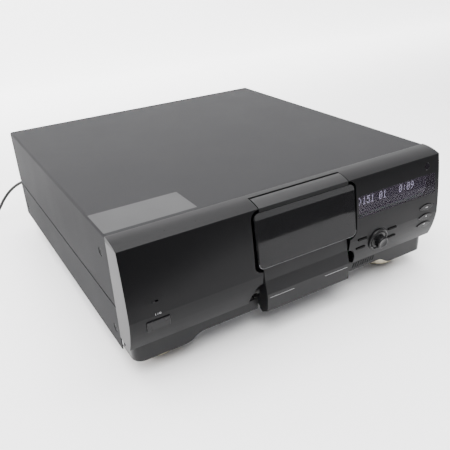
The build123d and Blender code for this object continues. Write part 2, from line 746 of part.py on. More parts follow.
with BuildPart() as feet:
    with BuildSketch(Plane.XZ) as foot_profile:
        with BuildLine():
            Polyline((4.0, 0), (foot_radius - 3, 0), (foot_radius - 2, 1.2), (foot_radius, 1.2),
                     (foot_radius, foot_ring_lift + foot_ring_height),
                     (foot_radius - 1.5, foot_body_height - 4), (foot_radius - 1.5, foot_body_height),
                     (2.2, foot_body_height), (2.2, foot_body_height - 4), (4.0, foot_body_height - 4), close=True)
        make_face()
    revolve(axis=Axis.Z)
with BuildPart() as feet_set:
    with Locations(*[(x, y, 0) for x, y in foot_places]):
        add(feet.part)
save(feet_set, "feet")

with BuildPart() as foot_ring:
    with BuildSketch(Plane.XZ):
        with BuildLine():
            low, high = foot_ring_lift, foot_ring_lift + foot_ring_height
            Polyline((foot_radius + 0.1, low), (foot_ring_radius - 0.8, low), (foot_ring_radius, low + 0.8),
                     (foot_ring_radius, high - 1.2), (foot_ring_radius - 1.2, high), (foot_radius + 0.1, high),
                     close=True)
        make_face()
    revolve(axis=Axis.Z)
with BuildPart() as foot_rings:
    with Locations(*[(x, y, 0) for x, y in foot_places]):
        add(foot_ring.part)
save(foot_rings, "foot_rings")

with BuildPart() as foot_screws:
    for x, y in foot_places:
        with BuildSketch(Plane.XY.offset(foot_body_height - 4 - 2.4)):
            with Locations((x, y)):
                Circle(3.6)
        extrude(amount=2.2)
        with BuildSketch(Plane.XY.offset(foot_body_height - 4 - 0.5)):
            with Locations((x, y)):
                Circle(1.9)
        extrude(amount=4.5 + sheet - 0.1)
save(foot_screws, "foot_screws")

# ---------------------------------------------------------------------------
# Chassis: floor pan, side flanges, upright front wall with the disc opening.
# ---------------------------------------------------------------------------
flange_height = 32.0
flange_x = half_width - sheet - seat_gap - tongue_wall - 0.4
screw_places = [(50.0, 27.0), (41.0, 117.0), (case_depth - 20.0, 119.0)]  # setback and drop
shank_radius = 1.9
panel_front_y = rear_y - sheet
chassis_back = panel_front_y - 0.1
bay_width = 138.0
bay_bottom = floor_z + 22.0
bay_top = top_z - 14.0

with BuildPart() as bottom_chassis:
    with BuildSketch(Plane.XY.offset(foot_height)):
        with Locations((0, (frame_wall_y + chassis_back) / 2)):
            Rectangle(2 * flange_x, chassis_back - frame_wall_y)
        with Locations(*foot_places):
            Circle(2.1, mode=Mode.SUBTRACT)
        # Cooling slots under the boards.
        for row in range(3):
            for column in range(8):
                with Locations((-178 + 9 * column, rear_y - 108 - 22 * row)):
                    SlotOverall(16, 3, rotation=90, mode=Mode.SUBTRACT)
    extrude(amount=sheet)
    # Side flanges, and taller ones beside the front wall.
    for side in (-1, 1):
        inner_x = side * (flange_x - sheet / 2)
        with BuildSketch(Plane.YZ.offset(inner_x - sheet / 2)):
            with BuildLine():
                Polyline((frame_wall_y, foot_height), (chassis_back, foot_height),
                         (chassis_back, foot_height + flange_height), (front_y + 70, foot_height + flange_height),
                         (front_y + 62, top_z - 8), (frame_wall_y, top_z - 8), close=True)
            make_face()
            for setback, drop in screw_places:
                with Locations((front_y + setback, top_z - drop)):
                    Circle(shank_radius + 0.1, mode=Mode.SUBTRACT)
        extrude(amount=sheet)
    # The upright front wall, open where discs go in.
    with BuildSketch(facing_front(frame_wall_y)):
        with Locations((0, (foot_height + top_z - 8) / 2)):
            Rectangle(2 * flange_x, top_z - 8 - foot_height)
        with Locations((door_x, (bay_bottom + bay_top) / 2)):
            RectangleRounded(bay_width, bay_top - bay_bottom, 8, mode=Mode.SUBTRACT)
        for x in (-150, 150):
            with Locations((x, top_z - 70)):
                RectangleRounded(60, 50, 5, mode=Mode.SUBTRACT)
    extrude(amount=-sheet)
    # A pressed ring under the carousel stiffens the floor.
    with BuildSketch(Plane.XY.offset(foot_height)):
        with Locations((0, mech_y)):
            Circle(128)
            Circle(120, mode=Mode.SUBTRACT)
    extrude(amount=-0.8)
    with BuildSketch(Plane.XY.offset(floor_z)):
        with Locations((0, mech_y)):
            Circle(127)
            Circle(121, mode=Mode.SUBTRACT)
    extrude(amount=-0.8, mode=Mode.SUBTRACT)
save(bottom_chassis, "bottom_chassis")

# ---------------------------------------------------------------------------
# Cover: a folded sheet over the top and both sides, and its screws.
# ---------------------------------------------------------------------------
cover_front = seam_y + seat_gap
cover_radius = 3.0
groove_drop = 82.3
groove_width = 3.4
recess_radius = 5.0
head_radius = 4.5

with BuildPart() as top_cover:
    with BuildSketch(facing_front(cover_front)):
        with Locations((0, top_z - case_height / 2)):
            Rectangle(case_width, case_height)
        fillet(vertices().group_by(Axis.Y)[-1], cover_radius)
        with Locations((0, top_z - case_height / 2 - sheet)):
            Rectangle(case_width - 2 * sheet, case_height, mode=Mode.SUBTRACT)
        fillet(vertices().filter_by(lambda v: abs(v.Z - (top_z - sheet)) < 0.01), cover_radius - sheet)
    extrude(amount=-(rear_y - cover_front))
    for side in (-1, 1):
        with BuildSketch(Plane.YZ.offset(side * half_width)):
            with Locations(((cover_front + rear_y) / 2, top_z - groove_drop)):
                Rectangle(rear_y - cover_front, groove_width)
        extrude(amount=-side * 0.6, mode=Mode.SUBTRACT)
        with BuildSketch(Plane.YZ.offset(side * half_width)):
            with Locations(*[(front_y + setback, top_z - drop) for setback, drop in screw_places]):
                Circle(recess_radius)
        extrude(amount=-side * (sheet + 1), mode=Mode.SUBTRACT)
save(top_cover, "top_cover")

with BuildPart() as cover_screws:
    for side in (-1, 1):
        for setback, drop in screw_places:
            with BuildSketch(Plane.YZ.offset(side * (half_width - 0.5))):
                with Locations((front_y + setback, top_z - drop)):
                    Circle(head_radius)
            extrude(amount=-side * (sheet + 0.1))
            with BuildSketch(Plane.YZ.offset(side * (half_width - 1.0))):
                with Locations((front_y + setback, top_z - drop)):
                    Circle(shank_radius)
            extrude(amount=-side * 9)
save(cover_screws, "cover_screws")

# ---------------------------------------------------------------------------
# Rear panel, its screws, the jacks and the cord's strain relief.
# ---------------------------------------------------------------------------
panel_width = case_width - 2 * sheet - 0.8
panel_low = floor_z + 0.2
panel_high = top_z - sheet - 0.4
jack_z = top_z - 62.0
audio_x = (120.0, 140.0)
optical_x = 165.0
remote_x = (190.0, 203.0)
gland_z = top_z - gland_drop
gland_hole = 6.0
rear_screw_places = [(-205, 12), (0, 12), (205, 12), (-205, 118), (205, 118), (-60, 118), (60, 118)]
main_board_y = rear_y - 14.0

with BuildPart() as rear_panel:
    with BuildSketch(facing_front(rear_y)):
        with Locations((0, (panel_low + panel_high) / 2)):
            Rectangle(panel_width, panel_high - panel_low)
        with Locations(*[(x, jack_z + dz) for x in audio_x for dz in (0, 18)]):
            Circle(jack_radius + 0.4, mode=Mode.SUBTRACT)
        with Locations((optical_x, jack_z + 9)):
            Rectangle(11, 11, mode=Mode.SUBTRACT)
        with Locations(*[(x, jack_z + 9) for x in remote_x]):
            Circle(3.4, mode=Mode.SUBTRACT)
        with Locations((gland_x, gland_z)):
            Circle(gland_hole + 0.1, mode=Mode.SUBTRACT)
        with Locations(*[(x, top_z - drop) for x, drop in rear_screw_places]):
            Circle(1.7, mode=Mode.SUBTRACT)
        for column in range(14):
            with Locations((-150 + 8 * column, top_z - 40)):
                SlotOverall(22, 2.6, rotation=90, mode=Mode.SUBTRACT)
    extrude(amount=sheet)
    # Returned edges that the cover lies on.
    with BuildSketch(facing_front(rear_y - sheet)):
        with Locations((0, panel_high - sheet / 2)):
            Rectangle(panel_width, sheet)
    extrude(amount=9)
save(rear_panel, "rear_panel")

with BuildPart() as rear_screws:
    for x, drop in rear_screw_places:
        with BuildSketch(facing_front(rear_y + 0.1)):
            with Locations((x, top_z - drop)):
                Circle(3.2)
        extrude(amount=-1.9, taper=15)
        with BuildSketch(facing_front(rear_y + 0.2)):
            with Locations((x, top_z - drop)):
                Circle(1.5)
        extrude(amount=7)
save(rear_screws, "rear_screws")

with BuildPart() as output_jacks:
    body_front = main_board_y + board_thick + 0.1
    body_back = rear_y - sheet - 0.2
    for x in audio_x:
        with BuildSketch(facing_front(body_front)):
            with Locations((x, jack_z + 9)):
                Rectangle(14, 34)
        extrude(amount=-(body_back - body_front))
        with BuildSketch(facing_front(body_back)):
            with Locations((x, jack_z), (x, jack_z + 18)):
                Circle(jack_radius)
        extrude(amount=-(rear_y + jack_reach - body_back))
        with BuildSketch(facing_front(rear_y + jack_reach)):
            with Locations((x, jack_z), (x, jack_z + 18)):
                Circle(jack_radius - 0.8)
                Circle(1.9, mode=Mode.SUBTRACT)
        extrude(amount=8, mode=Mode.SUBTRACT)
    with BuildSketch(facing_front(body_front)):
        with Locations((optical_x, jack_z + 9)):
            Rectangle(10.4, 10.4)
    extrude(amount=-(rear_y + 1.5 - body_front))
    with BuildSketch(facing_front(body_front)):
        with Locations(*[(x, jack_z + 9) for x in remote_x]):
            Rectangle(9, 12)
    extrude(amount=-(body_back - body_front))
    with BuildSketch(facing_front(body_back)):
        with Locations(*[(x, jack_z + 9) for x in remote_x]):
            Circle(3.1)
            Circle(1.8, mode=Mode.SUBTRACT)
    extrude(amount=-(rear_y + 1.2 - body_back))
save(output_jacks, "output_jacks")

with BuildPart() as cord_gland:
    with BuildSketch(Plane(origin=(gland_x, rear_y, gland_z), x_dir=(1, 0, 0), z_dir=(0, 0, 1))):
        with BuildLine():
            bore = cord_diameter / 2
            Polyline((0, -sheet - 2), (gland_hole + 1.4, -sheet - 2), (gland_hole + 1.4, -sheet - 0.1),
                     (gland_hole, -sheet - 0.1), (gland_hole, 0.1), (gland_hole + 1.6, 0.1),
                     (gland_hole + 1.6, 3), (5.4, 4), (bore + 0.8, gland_length), (0, gland_length), close=True)
        make_face()
    revolve(axis=Axis((gland_x, rear_y, gland_z), (0, 1, 0)))
save(cord_gland, "cord_gland")

# ---------------------------------------------------------------------------
# Boards and transformer at the back.
# ---------------------------------------------------------------------------
with BuildPart() as main_board:
    with BuildSketch(facing_front(main_board_y + board_thick)):
        with Locations((75, floor_z + 52)):
            Rectangle(268, 96)
    extrude(amount=board_thick)
    with BuildSketch(facing_front(main_board_y)):
        with Locations((60, floor_z + 60), (100, floor_z + 30)):
            Rectangle(26, 20)
        with Locations((20, floor_z + 40), (-30, floor_z + 66)):
            Rectangle(18, 10)
    extrude(amount=3)
    # Reservoir capacitors and a finned heat sink in the corner that the carousel leaves.
    with BuildSketch(facing_front(main_board_y)):
        with Locations((186, floor_z + 22), (186, floor_z + 42)):
            Circle(8)
    extrude(amount=26)
    with BuildSketch(facing_front(main_board_y)):
        with Locations((184, floor_z + 76)):
            Rectangle(36, 4)
            with GridLocations(6, 0, 7, 1):
                Rectangle(1.6, 24)
    extrude(amount=22)
save(main_board, "main_board")

transformer_x = -176.0
transformer_y = rear_y - 48.0
with BuildPart() as power_transformer:
    with BuildSketch(Plane.XY.offset(floor_z + 0.1)):
        with Locations((transformer_x, transformer_y)):
            Rectangle(66, 30)
            with Locations((-28, 0), (28, 0)):
                Circle(2.2, mode=Mode.SUBTRACT)
    extrude(amount=2)
    with BuildSketch(Plane.XY.offset(floor_z + 2)):
        with Locations((transformer_x, transformer_y)):
            Rectangle(48, 22)
    extrude(amount=42)
    with BuildSketch(Plane.XY.offset(floor_z + 9)):
        with Locations((transformer_x, transformer_y)):
            RectangleRounded(34, 44, 6)
    extrude(amount=28)
save(power_transformer, "power_transformer")

# ---------------------------------------------------------------------------
# Carousel: guide ring and pads on the floor, a troughed tray, two slotted racks.
# ---------------------------------------------------------------------------
rim_z = foot_height + tray_lift
ledge_z = disc_z - sqrt(disc_radius**2 - (disc_ring_radius - inner_rack_radius - inner_rack_width / 2 - 1)**2) - 2.0
trough_z = disc_z - disc_radius - 3.5
inner_edge = inner_rack_radius + inner_rack_width / 2 + 1.0
outer_edge = outer_rack_radius - outer_rack_width / 2 - 1.0
gear_z = foot_height + gear_lift
pitch_radius = gear_module * ring_teeth / 2
pinion_pitch = gear_module * pinion_teeth / 2
mesh_gap = 0.3


def gear_teeth(teeth, inner, outer, width_at_pitch, pitch, taper):
    """Points of a toothed outline, four to a tooth, going once round."""
    points = []
    for tooth in range(teeth):
        middle = 2 * pi * tooth / teeth
        at_inner = (width_at_pitch / 2 + taper * (pitch - inner)) / inner
        at_outer = (width_at_pitch / 2 - taper * (outer - pitch)) / outer
        for radius, angle in ((inner, -at_inner), (outer, -at_outer), (outer, at_outer), (inner, at_inner)):
            points.append((radius * cos(middle + angle), radius * sin(middle + angle)))
    return points


tooth_width = pi * gear_module / 2
with BuildPart() as carousel_tray:
    with BuildSketch(Plane(origin=(0, mech_y, 0), x_dir=(1, 0, 0), z_dir=(0, -1, 0))):
        with BuildLine():
            Line((tray_inner, rim_z), (tray_inner, ledge_z))
            Line((tray_inner, ledge_z), (inner_edge, ledge_z))
            ThreePointArc((inner_edge, ledge_z), (disc_ring_radius, trough_z), (outer_edge, ledge_z))
            Line((outer_edge, ledge_z), (tray_outer, ledge_z))
            Line((tray_outer, ledge_z), (tray_outer, rim_z))
            Line((tray_outer, rim_z), (tray_outer - tray_wall, rim_z))
            Line((tray_outer - tray_wall, rim_z), (tray_outer - tray_wall, ledge_z - tray_wall))
            Line((tray_outer - tray_wall, ledge_z - tray_wall), (outer_edge + 2, ledge_z - tray_wall))
            ThreePointArc((outer_edge + 2, ledge_z - tray_wall), (disc_ring_radius, trough_z - tray_wall),
                          (inner_edge - 2, ledge_z - tray_wall))
            Line((inner_edge - 2, ledge_z - tray_wall), (tray_inner + tray_wall, ledge_z - tray_wall))
            Line((tray_inner + tray_wall, ledge_z - tray_wall), (tray_inner + tray_wall, rim_z))
            Line((tray_inner + tray_wall, rim_z), (tray_inner, rim_z))
        make_face()
    revolve(axis=Axis((0, mech_y, 0), (0, 0, 1)))
    # Teeth on the inside of the collar.
    with BuildSketch(Plane.XY.offset(gear_z)):
        with Locations((0, mech_y)):
            Circle(tray_inner + 0.4)
            Polygon(*gear_teeth(ring_teeth, pitch_radius - 1.4, pitch_radius + 1.7,
                                tooth_width + mesh_gap, pitch_radius, 0.36), align=None, mode=Mode.SUBTRACT)
    extrude(amount=gear_width)
save(carousel_tray, "carousel_tray")


def slotted_rack(name, radius, width, height):
    """A ring of upright blades, with one radial slot for each disc between them."""
    with BuildPart() as rack:
        with BuildSketch(Plane.XY.offset(ledge_z)):
            with Locations((0, mech_y)):
                Circle(radius + width / 2)
                Circle(radius - width / 2, mode=Mode.SUBTRACT)
        extrude(amount=rack_base)
        with BuildSketch(Plane.XY.offset(ledge_z + rack_base)):
            with Locations((0, mech_y)):
                Circle(radius + width / 2)
                Circle(radius - width / 2, mode=Mode.SUBTRACT)
                with PolarLocations(radius, disc_slots):
                    Rectangle(width + 4, slot_width, mode=Mode.SUBTRACT)
        extrude(amount=height - rack_base)
    save(rack, name)


slotted_rack("inner_rack", inner_rack_radius, inner_rack_width, inner_rack_height)
slotted_rack("outer_rack", outer_rack_radius, outer_rack_width, outer_rack_height)

guide_gap = 0.35
with BuildPart() as guide_ring:
    with BuildSketch(Plane(origin=(0, mech_y, 0), x_dir=(1, 0, 0), z_dir=(0, -1, 0))):
        with BuildLine():
            guide = tray_inner - guide_gap
            Polyline((guide - 2.6, floor_z + 0.05), (guide + 5, floor_z + 0.05), (guide + 5, rim_z - 0.25),
                     (guide, rim_z - 0.25), (guide, gear_z - 1.5), (guide - 2.6, gear_z - 1.5), close=True)
        make_face()
    revolve(axis=Axis((0, mech_y, 0), (0, 0, 1)))
save(guide_ring, "guide_ring")

pad_radius = tray_outer - tray_wall / 2
with BuildPart() as glide_pads:
    with BuildSketch(Plane.XY.offset(floor_z + 0.05)):
        with Locations((0, mech_y)):
            with PolarLocations(pad_radius, 6, start_angle=30):
                Circle(5)
    extrude(amount=rim_z - 0.25 - floor_z - 0.05)
save(glide_pads, "glide_pads")

# The drive: motor, bracket and pinion inside the gear ring.
pinion_x = pitch_radius - pinion_pitch
bracket_z = gear_z + gear_width + 2.0
with BuildPart() as drive_pinion:
    with BuildSketch(Plane.XY.offset(gear_z + 0.3)):
        with Locations(Location((pinion_x, mech_y, 0), (0, 0, 0))):
            Polygon(*gear_teeth(pinion_teeth, pinion_pitch - 1.8, pinion_pitch + 1.2,
                                tooth_width - mesh_gap, pinion_pitch, 0.36), align=None)
    extrude(amount=gear_width - 0.6)
    with BuildSketch(Plane.XY.offset(gear_z + gear_width - 0.4)):
        with Locations((pinion_x, mech_y)):
            Circle(1.5)
    extrude(amount=bracket_z + 10 - gear_z - gear_width + 0.4)
save(drive_pinion, "drive_pinion")

with BuildPart() as motor_bracket:
    with BuildSketch(Plane.XZ.offset(-(mech_y - 18))):
        with BuildLine():
            left_x, right_x = pinion_x - 16.0, pinion_x + 8.0
            Polyline((left_x, floor_z), (right_x - 12, floor_z), (right_x - 12, bracket_z),
                     (right_x, bracket_z), (right_x, bracket_z + 1.5), (left_x, bracket_z + 1.5), close=True)
        make_face()
    extrude(amount=-36)
    with BuildSketch(Plane.XZ.offset(-(mech_y - 16.5))):
        with Locations((left_x, floor_z)):
            Rectangle(80, bracket_z - floor_z, align=(Align.CENTER, Align.MIN))
    extrude(amount=-33, mode=Mode.SUBTRACT)
    with BuildSketch(Plane.XY.offset(bracket_z)):
        with Locations((pinion_x, mech_y)):
            Circle(2.2)
    extrude(amount=3, mode=Mode.SUBTRACT)
save(motor_bracket, "motor_bracket")

with BuildPart() as carousel_motor:
    with BuildSketch(Plane.XY.offset(bracket_z + 1.6)):
        with Locations((pinion_x, mech_y)):
            Circle(motor_radius)
            Circle(1.55, mode=Mode.SUBTRACT)
    extrude(amount=motor_length)
    with BuildSketch(Plane.XY.offset(bracket_z + 1.6 + motor_length)):
        with Locations((pinion_x, mech_y)):
            Circle(4)
    extrude(amount=2)
save(carousel_motor, "carousel_motor")

sensor_angle = radians(225)
with BuildPart() as carousel_sensor:
    sensor_plane = Plane(origin=(cos(sensor_angle) * (tray_outer + 8), mech_y + sin(sensor_angle) * (tray_outer + 8),
                                 floor_z + 0.05),
                         x_dir=(cos(sensor_angle), sin(sensor_angle), 0), z_dir=(0, 0, 1))
    with BuildSketch(sensor_plane):
        Rectangle(14, 18)
    extrude(amount=2)
    with BuildSketch(sensor_plane.offset(2)):
        with Locations((-2, 0)):
            Rectangle(6, 12)
    extrude(amount=14)
save(carousel_sensor, "carousel_sensor")

# ---------------------------------------------------------------------------
# Player: two plates on the floor, turntable, clamp, pickup and eject lever.
# ---------------------------------------------------------------------------
plate_wall = 2.0
rod_offset = 20.0
hub_radius = 8.0
rod_x = plate_x - 10.0
rod_radius = 1.5
rod_gap = 0.05
sled_width = 10.0
sled_start = mech_y + 19.0
rod_from = mech_y - 2.0
lug_wall = 3.0
rod_to = sled_start + sled_width + sled_travel + 0.5 + lug_wall
lever_y = mech_y - 22.0
lever_z = disc_z - disc_radius + 6.0

with BuildPart() as player_frame:
    with BuildSketch(Plane.YZ.offset(plate_x)):
        with BuildLine():
            Polyline((mech_y - 48, floor_z + 0.05), (mech_y + 48, floor_z + 0.05), (mech_y + 50, disc_z - 34),
                     (mech_y + 61, disc_z - 25), (mech_y + 61, disc_z + 25), (mech_y + 20, disc_z + 46),
                     (mech_y - 20, disc_z + 46), (mech_y - 50, disc_z + 20), (mech_y - 50, disc_z - 30), close=True)
        make_face()
        with Locations((mech_y, disc_z)):
            Circle(hub_radius + 1.0, mode=Mode.SUBTRACT)
        with Locations((mech_y + 38, disc_z)):
            RectangleRounded(42, 22, 3, mode=Mode.SUBTRACT)
        with Locations((mech_y - 30, disc_z + 5), (mech_y, disc_z + 32)):
            Circle(7, mode=Mode.SUBTRACT)
        with Locations((lever_y, lever_z)):
            Circle(2.0, mode=Mode.SUBTRACT)
    extrude(amount=-plate_wall)
    with BuildSketch(Plane.XY.offset(floor_z + 0.05)):
        with Locations((plate_x - 12, mech_y)):
            Rectangle(24, 60)
            with Locations((-6, -22), (-6, 22)):
                Circle(1.6, mode=Mode.SUBTRACT)
    extrude(amount=2)
    # Lugs that hold the rod and the screw behind the plate.
    lug_places = [(y, dz) for y in (rod_from, rod_to - lug_wall) for dz in (rod_offset, -rod_offset)]
    for y, dz in lug_places:
        with BuildSketch(facing_front(y + lug_wall)):
            with Locations((rod_x + 3, disc_z + dz)):
                Rectangle(15, 8)
            with Locations((rod_x, disc_z + dz)):
                Circle(rod_radius + rod_gap, mode=Mode.SUBTRACT)
        extrude(amount=lug_wall)
save(player_frame, "player_frame")

with BuildPart() as spindle_motor:
    with BuildSketch(Plane.YZ.offset(plate_x - plate_wall - 0.05)):
        with Locations((mech_y, disc_z)):
            Circle(spindle_motor_radius)
            Circle(1.3, mode=Mode.SUBTRACT)
    extrude(amount=-18)
save(spindle_motor, "spindle_motor")

player_axis = Axis((0, mech_y, disc_z), (1, 0, 0))
with BuildPart() as turntable:
    with BuildSketch(Plane(origin=(0, mech_y, disc_z), x_dir=(1, 0, 0), z_dir=(0, -1, 0))):
        with BuildLine():
            Polyline((plate_x - 12, 0), (plate_x - 12, 1.25), (plate_x + 1, 1.25), (plate_x + 1, hub_radius),
                     (-4, hub_radius), (-4, turntable_radius), (-0.8, turntable_radius), (-0.8, 7.4), (1.0, 7.4),
                     (2.2, 5.5), (2.2, 0), close=True)
        make_face()
    revolve(axis=player_axis)
save(turntable, "turntable")

with BuildPart() as guide_rod:
    with BuildSketch(facing_front(rod_to)):
        with Locations((rod_x, disc_z + rod_offset)):
            Circle(rod_radius)
    extrude(amount=rod_to - rod_from + 3)
save(guide_rod, "guide_rod")

sled_motor_radius = 6.2
with BuildPart() as lead_screw:
    with BuildSketch(facing_front(rod_to)):
        with Locations((rod_x, disc_z - rod_offset)):
            Circle(rod_radius)
    extrude(amount=rod_to - rod_from + 14)
save(lead_screw, "lead_screw")

with BuildPart() as sled_motor:
    with BuildSketch(facing_front(rod_from - 0.3)):
        with Locations((rod_x, disc_z - rod_offset)):
            Circle(sled_motor_radius)
            Circle(rod_radius + rod_gap, mode=Mode.SUBTRACT)
    extrude(amount=20)
save(sled_motor, "sled_motor")

with BuildPart() as pickup_sled:
    with BuildSketch(facing_front(sled_start + sled_width)):
        with Locations((rod_x, disc_z)):
            RectangleRounded(9, 2 * rod_offset + 8, 2)
        with Locations((rod_x, disc_z + rod_offset), (rod_x, disc_z - rod_offset)):
            Circle(rod_radius + rod_gap, mode=Mode.SUBTRACT)
    extrude(amount=sled_width)
    with BuildSketch(Plane.YZ.offset(rod_x + 4)):
        with Locations((sled_start + sled_width / 2, disc_z)):
            RectangleRounded(8, 16, 2)
    extrude(amount=plate_x + 6 - rod_x - 4)
save(pickup_sled, "pickup_sled")

with BuildPart() as pickup_lens:
    with BuildSketch(Plane.YZ.offset(plate_x + 6.05)):
        with Locations((sled_start + sled_width / 2, disc_z)):
            Circle(3.2)
    extrude(amount=1.8)
    fillet(faces().sort_by(Axis.X)[-1].edges(), 1.2)
save(pickup_lens, "pickup_lens")

clamp_x = 24.0
clamp_pivot_z = disc_z - 40.0
clamp_pivot_x = 17.0
with BuildPart() as clamp_bracket:
    with BuildSketch(Plane.YZ.offset(clamp_x)):
        with BuildLine():
            Polyline((mech_y - 16, floor_z + 0.05), (mech_y + 16, floor_z + 0.05), (mech_y + 12, disc_z + 20),
                     (mech_y - 12, disc_z + 20), close=True)
        make_face()
        with Locations((mech_y, disc_z)):
            Circle(6, mode=Mode.SUBTRACT)
    extrude(amount=1.5)
    with BuildSketch(Plane.XY.offset(floor_z + 0.05)):
        with Locations((clamp_x - 6, mech_y)):
            Rectangle(14, 32)
    extrude(amount=1.5)
    # Ears for the arm's pivot.
    for ear_y in (mech_y - 12.5, mech_y + 11):
        with BuildSketch(facing_front(ear_y + 1.5)):
            with Locations(((clamp_pivot_x + clamp_x) / 2, clamp_pivot_z)):
                Rectangle(clamp_x - clamp_pivot_x + 1, 8)
            with Locations((clamp_pivot_x, clamp_pivot_z)):
                Circle(4)
                Circle(1.5 + pin_clearance, mode=Mode.SUBTRACT)
        extrude(amount=1.5)
save(clamp_bracket, "clamp_bracket")

with BuildPart() as clamp_arm:
    with BuildSketch(Plane.YZ.offset(12)):
        with BuildLine():
            Polyline((mech_y - 8, clamp_pivot_z - 3), (mech_y + 8, clamp_pivot_z - 3), (mech_y + 6, disc_z + 4),
                     (mech_y - 6, disc_z + 4), close=True)
        make_face()
        with Locations((mech_y, disc_z)):
            Circle(7)
            Circle(2 + rod_gap, mode=Mode.SUBTRACT)
    extrude(amount=2)
    with BuildSketch(facing_front(mech_y + 13.5)):
        with Locations((clamp_pivot_x, clamp_pivot_z)):
            Circle(1.5)
    extrude(amount=27)
    with BuildSketch(facing_front(mech_y + 8)):
        with Locations((clamp_pivot_x, clamp_pivot_z)):
            Circle(3)
        with Locations((clamp_pivot_x - 2.5, clamp_pivot_z)):
            Rectangle(5, 6)
    extrude(amount=16)
save(clamp_arm, "clamp_arm")

with BuildPart() as clamp_puck:
    with BuildSketch(Plane(origin=(0, mech_y, disc_z), x_dir=(1, 0, 0), z_dir=(0, -1, 0))):
        with BuildLine():
            Polyline((2.6, 0), (2.6, 5), (1.2, 8), (1.2, 13), (4, 13), (8, 6), (11.6, 6), (11.6, 2), (14.6, 2),
                     (14.6, 4), (16, 4), (16, 0), close=True)
        make_face()
    revolve(axis=player_axis)
save(clamp_puck, "clamp_puck")

with BuildPart() as eject_lever:
    tip_y, tip_z = mech_y - 49.0, disc_z - 40.0
    with BuildSketch(Plane.YZ.offset(plate_x + 1)):
        with BuildLine():
            Polyline((lever_y, lever_z + 4.5), (mech_y - 38, disc_z - 45), (tip_y, tip_z + 3), (tip_y - 2, tip_z - 2),
                     (mech_y - 40, disc_z - 54), (lever_y, lever_z - 4.5), close=True)
        make_face()
        with Locations((lever_y, lever_z)):
            Circle(4.5)
        with Locations((tip_y, tip_z)):
            Circle(3)
    extrude(amount=2)
    with BuildSketch(Plane.YZ.offset(plate_x + 2)):
        with Locations((tip_y, tip_z)):
            Circle(2.6)
    extrude(amount=12)
    with BuildSketch(Plane.YZ.offset(plate_x + 1.5)):
        with Locations((lever_y, lever_z)):
            Circle(2.0 - pin_clearance)
    extrude(amount=-(plate_wall + 2.5))
    with BuildSketch(Plane.YZ.offset(plate_x - plate_wall - 0.5)):
        with Locations((lever_y, lever_z)):
            Circle(3.2)
    extrude(amount=-1)
save(eject_lever, "eject_lever")

# ---------------------------------------------------------------------------
# Mains cord: a free run from the strain relief, a stored coil and the plug.
# ---------------------------------------------------------------------------
cord_radius = cord_diameter / 2
coil_x, coil_y = -330.0, 250.0
coil_inner = 4.1 * cord_diameter
coil_pitch = 1.3 * cord_diameter
coil_rise = 1.22 * cord_diameter
inward_half_turns = 6  # on the floor, winding in
outward_half_turns = 7  # on top of them, winding out
end_straight = cord_diameter
cord_lie = cord_radius + 0.2  # height of the cord's centre where it lies on the floor


def biarc(start, start_tangent, end, end_tangent):
    """The meeting point and its tangent of two arcs that join two points and their tangents."""
    gap = end - start
    both = start_tangent + end_tangent
    fold = 2 * (1 - start_tangent.dot(end_tangent))
    along = gap.dot(both)
    reach = (sqrt(along**2 + fold * gap.dot(gap)) - along) / fold
    first = start + start_tangent * reach
    second = end - end_tangent * reach
    return (first + second) / 2, (second - first).normalized()


def coil_point(half_turns):
    """Centre of the wire after a number of half turns: in on the floor, up, and out on top."""
    climb = min(max(half_turns - inward_half_turns, 0), 1)
    outward = max(half_turns - inward_half_turns - 1, 0)
    spread = max(inward_half_turns - half_turns, 0) + outward
    radius = coil_inner + coil_pitch / 2 * spread
    angle = radians(90 + 180 * half_turns)
    return Vector(coil_x + radius * cos(angle), coil_y + radius * sin(angle), cord_lie + coil_rise * climb)


def coil_heading(half_turns):
    """Direction of the wire there, square to the coil's radius."""
    angle = radians(90 + 180 * half_turns)
    return Vector(-sin(angle), cos(angle), 0)


coil_steps = inward_half_turns + 1 + outward_half_turns
coil_entry = coil_point(0) - coil_heading(0) * end_straight
coil_exit = coil_point(coil_steps) + coil_heading(coil_steps) * end_straight
with BuildPart() as cord_coil:
    with BuildLine() as coil_path:
        Line(coil_entry, coil_point(0))
        for step in range(coil_steps):
            here, there = coil_point(step), coil_point(step + 1)
            middle, across = biarc(here, coil_heading(step), there, coil_heading(step + 1))
            TangentArc(here, middle, tangent=coil_heading(step))
            TangentArc(middle, there, tangent=across)
        Line(coil_point(coil_steps), coil_exit)
    with BuildSketch(Plane(origin=coil_entry, z_dir=coil_heading(0))):
        Circle(cord_radius)
    sweep()
save(cord_coil, "cord_coil")


def least_gap(wire, spacing, diameter):
    """The smallest clear gap between stretches of a wire that are not neighbours along it."""
    count = int(wire.length / spacing)
    points = [wire.position_at(i / count) for i in range(count + 1)]
    apart = int(4 * diameter / spacing)
    return min((points[i] - points[j]).length for i in range(count + 1)
               for j in range(i + apart, count + 1)) - diameter


coil_wire = coil_path.wires()[0]
section = pi * cord_radius**2
print("coil length", round(coil_wire.length, 1), "least gap", round(least_gap(coil_wire, 4.0, cord_diameter), 2),
      "volume ratio", round(cord_coil.part.volume / (section * coil_wire.length), 4))

# Route of the free run, from the strain relief's end to the coil's first turn.
run_start = Vector(gland_x, rear_y + gland_length, gland_z)
route = [
    run_start,
    Vector(gland_x, rear_y + 47, gland_z),
    Vector(-184.6, rear_y + 62, 65),
    Vector(-199, rear_y + 70, 59.5),
    Vector(-222, rear_y + 70.5, 53.5),
    Vector(-243, rear_y + 68, 37.5),
    Vector(-259, rear_y + 65, 15),
    Vector(-282, rear_y + 61, cord_lie),
    Vector(-304, coil_entry.Y, cord_lie),
    coil_entry,
]


